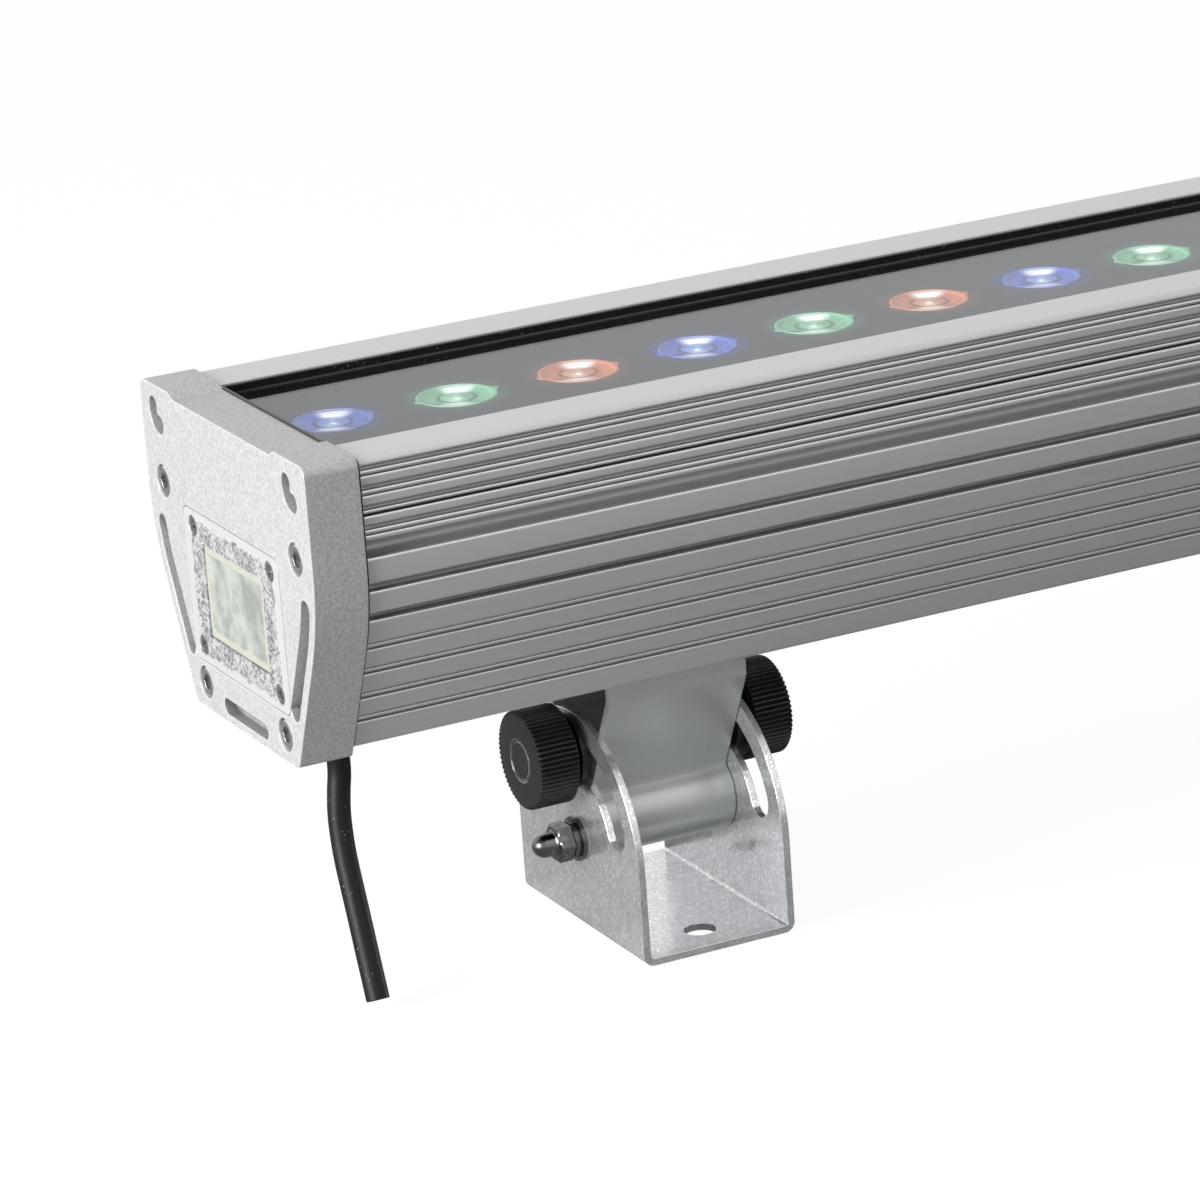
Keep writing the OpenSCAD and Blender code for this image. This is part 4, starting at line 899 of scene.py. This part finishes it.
class FloodlightKnobs(bpy.types.Operator):
    """Makes the ribbed clamping knobs."""
    bl_idname = "floodlight.knobs"
    bl_label = "Knobs"

    def execute(self, context):
        size = sizes()
        r = size.knob_r / MM
        # Black plastic with a fine matt grain, and the polished ring in its face, whose grey is a painted sheen on
        # the black plastic
        black = plain_finish("black_polyamide", "161718", 0.38, grit_mm=0.5, edge_mm=0.12)
        gloss = plain_finish("polished_polyamide", "8A8C8E", 0.14, metallic=0.5, grit_mm=2.0, depth_mm=0.01,
                             edge_mm=0.3)
        rows = [(0.0, 3.0), (0.0, 8.7), (0.3, 9.0), (1.7, 9.0), (2.0, 9.3), (2.0, r - 1.4),
                (2.3, r - 1.0, "ribbed"), (2.5, r, "ribbed"), (13.45, r, "ribbed"), (13.8, r - 0.3, "ribbed"),
                (13.9, r - 1.3), (13.9, 6.3), (13.7, 6.05, "round", 1), (13.1, 5.85, "round", 1),
                (13.1, 5.6, "round", 1), (13.7, 5.4, "round", 1), (13.85, 5.1, "round", 1), (13.88, 4.8),
                (13.8, 3.0), (13.75, 0.0)]
        steel = bright_steel()
        for number, (x, way) in KNOBS.items():
            place = along_x(x + way * KNOB_WASHER, 0, KNOB_Z, way)
            body = turned(rows, place, size.knob_ribs * STEPS_PER_RIB, size.knob_ribs, size.rib_depth / MM)
            piece("knob_body_" + number, body, "clamp_knob_" + number, [black, gloss],
                  ["knob_" + number, "knob_plug_" + number])
            dress(steel, "knob_stud_" + number)
            dress(black, "knob_washer_" + number)
        return {"FINISHED"}


OPERATORS = (FloodlightStage, FloodlightCord, FloodlightBar, FloodlightCaps, FloodlightWindow, FloodlightLenses,
             FloodlightGland, FloodlightBrackets, FloodlightKnobs)


class FloodlightPanel(bpy.types.Panel):
    """Lists the floodlight's pieces in the sidebar of the 3D view."""
    bl_label = "Floodlight"
    bl_idname = "VIEW3D_PT_floodlight"
    bl_space_type = "VIEW_3D"
    bl_region_type = "UI"
    bl_category = "Floodlight"

    def draw(self, context):
        for group in (context.scene.floodlight_sizes, context.scene.floodlight_colours):
            for name in group.__annotations__:
                self.layout.prop(group, name)
        for operator in OPERATORS:
            self.layout.operator(operator.bl_idname)


CLASSES = (FloodlightSizes, FloodlightColours, *OPERATORS, FloodlightPanel)


def register():
    """Adds the classes and the two groups of settings."""
    for kind in CLASSES:
        bpy.utils.register_class(kind)
    bpy.types.Scene.floodlight_sizes = bpy.props.PointerProperty(type=FloodlightSizes)
    bpy.types.Scene.floodlight_colours = bpy.props.PointerProperty(type=FloodlightColours)


def unregister():
    """Takes them out again."""
    del bpy.types.Scene.floodlight_colours
    del bpy.types.Scene.floodlight_sizes
    for kind in reversed(CLASSES):
        bpy.utils.unregister_class(kind)


def main():
    """Makes every piece in turn."""
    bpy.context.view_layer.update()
    register()
    bpy.ops.floodlight.stage()
    bpy.ops.floodlight.cord()
    bpy.ops.floodlight.bar()
    bpy.ops.floodlight.caps()
    bpy.ops.floodlight.window()
    bpy.ops.floodlight.lenses()
    bpy.ops.floodlight.gland()
    bpy.ops.floodlight.brackets()
    bpy.ops.floodlight.knobs()


if __name__ == "__main__":
    main()
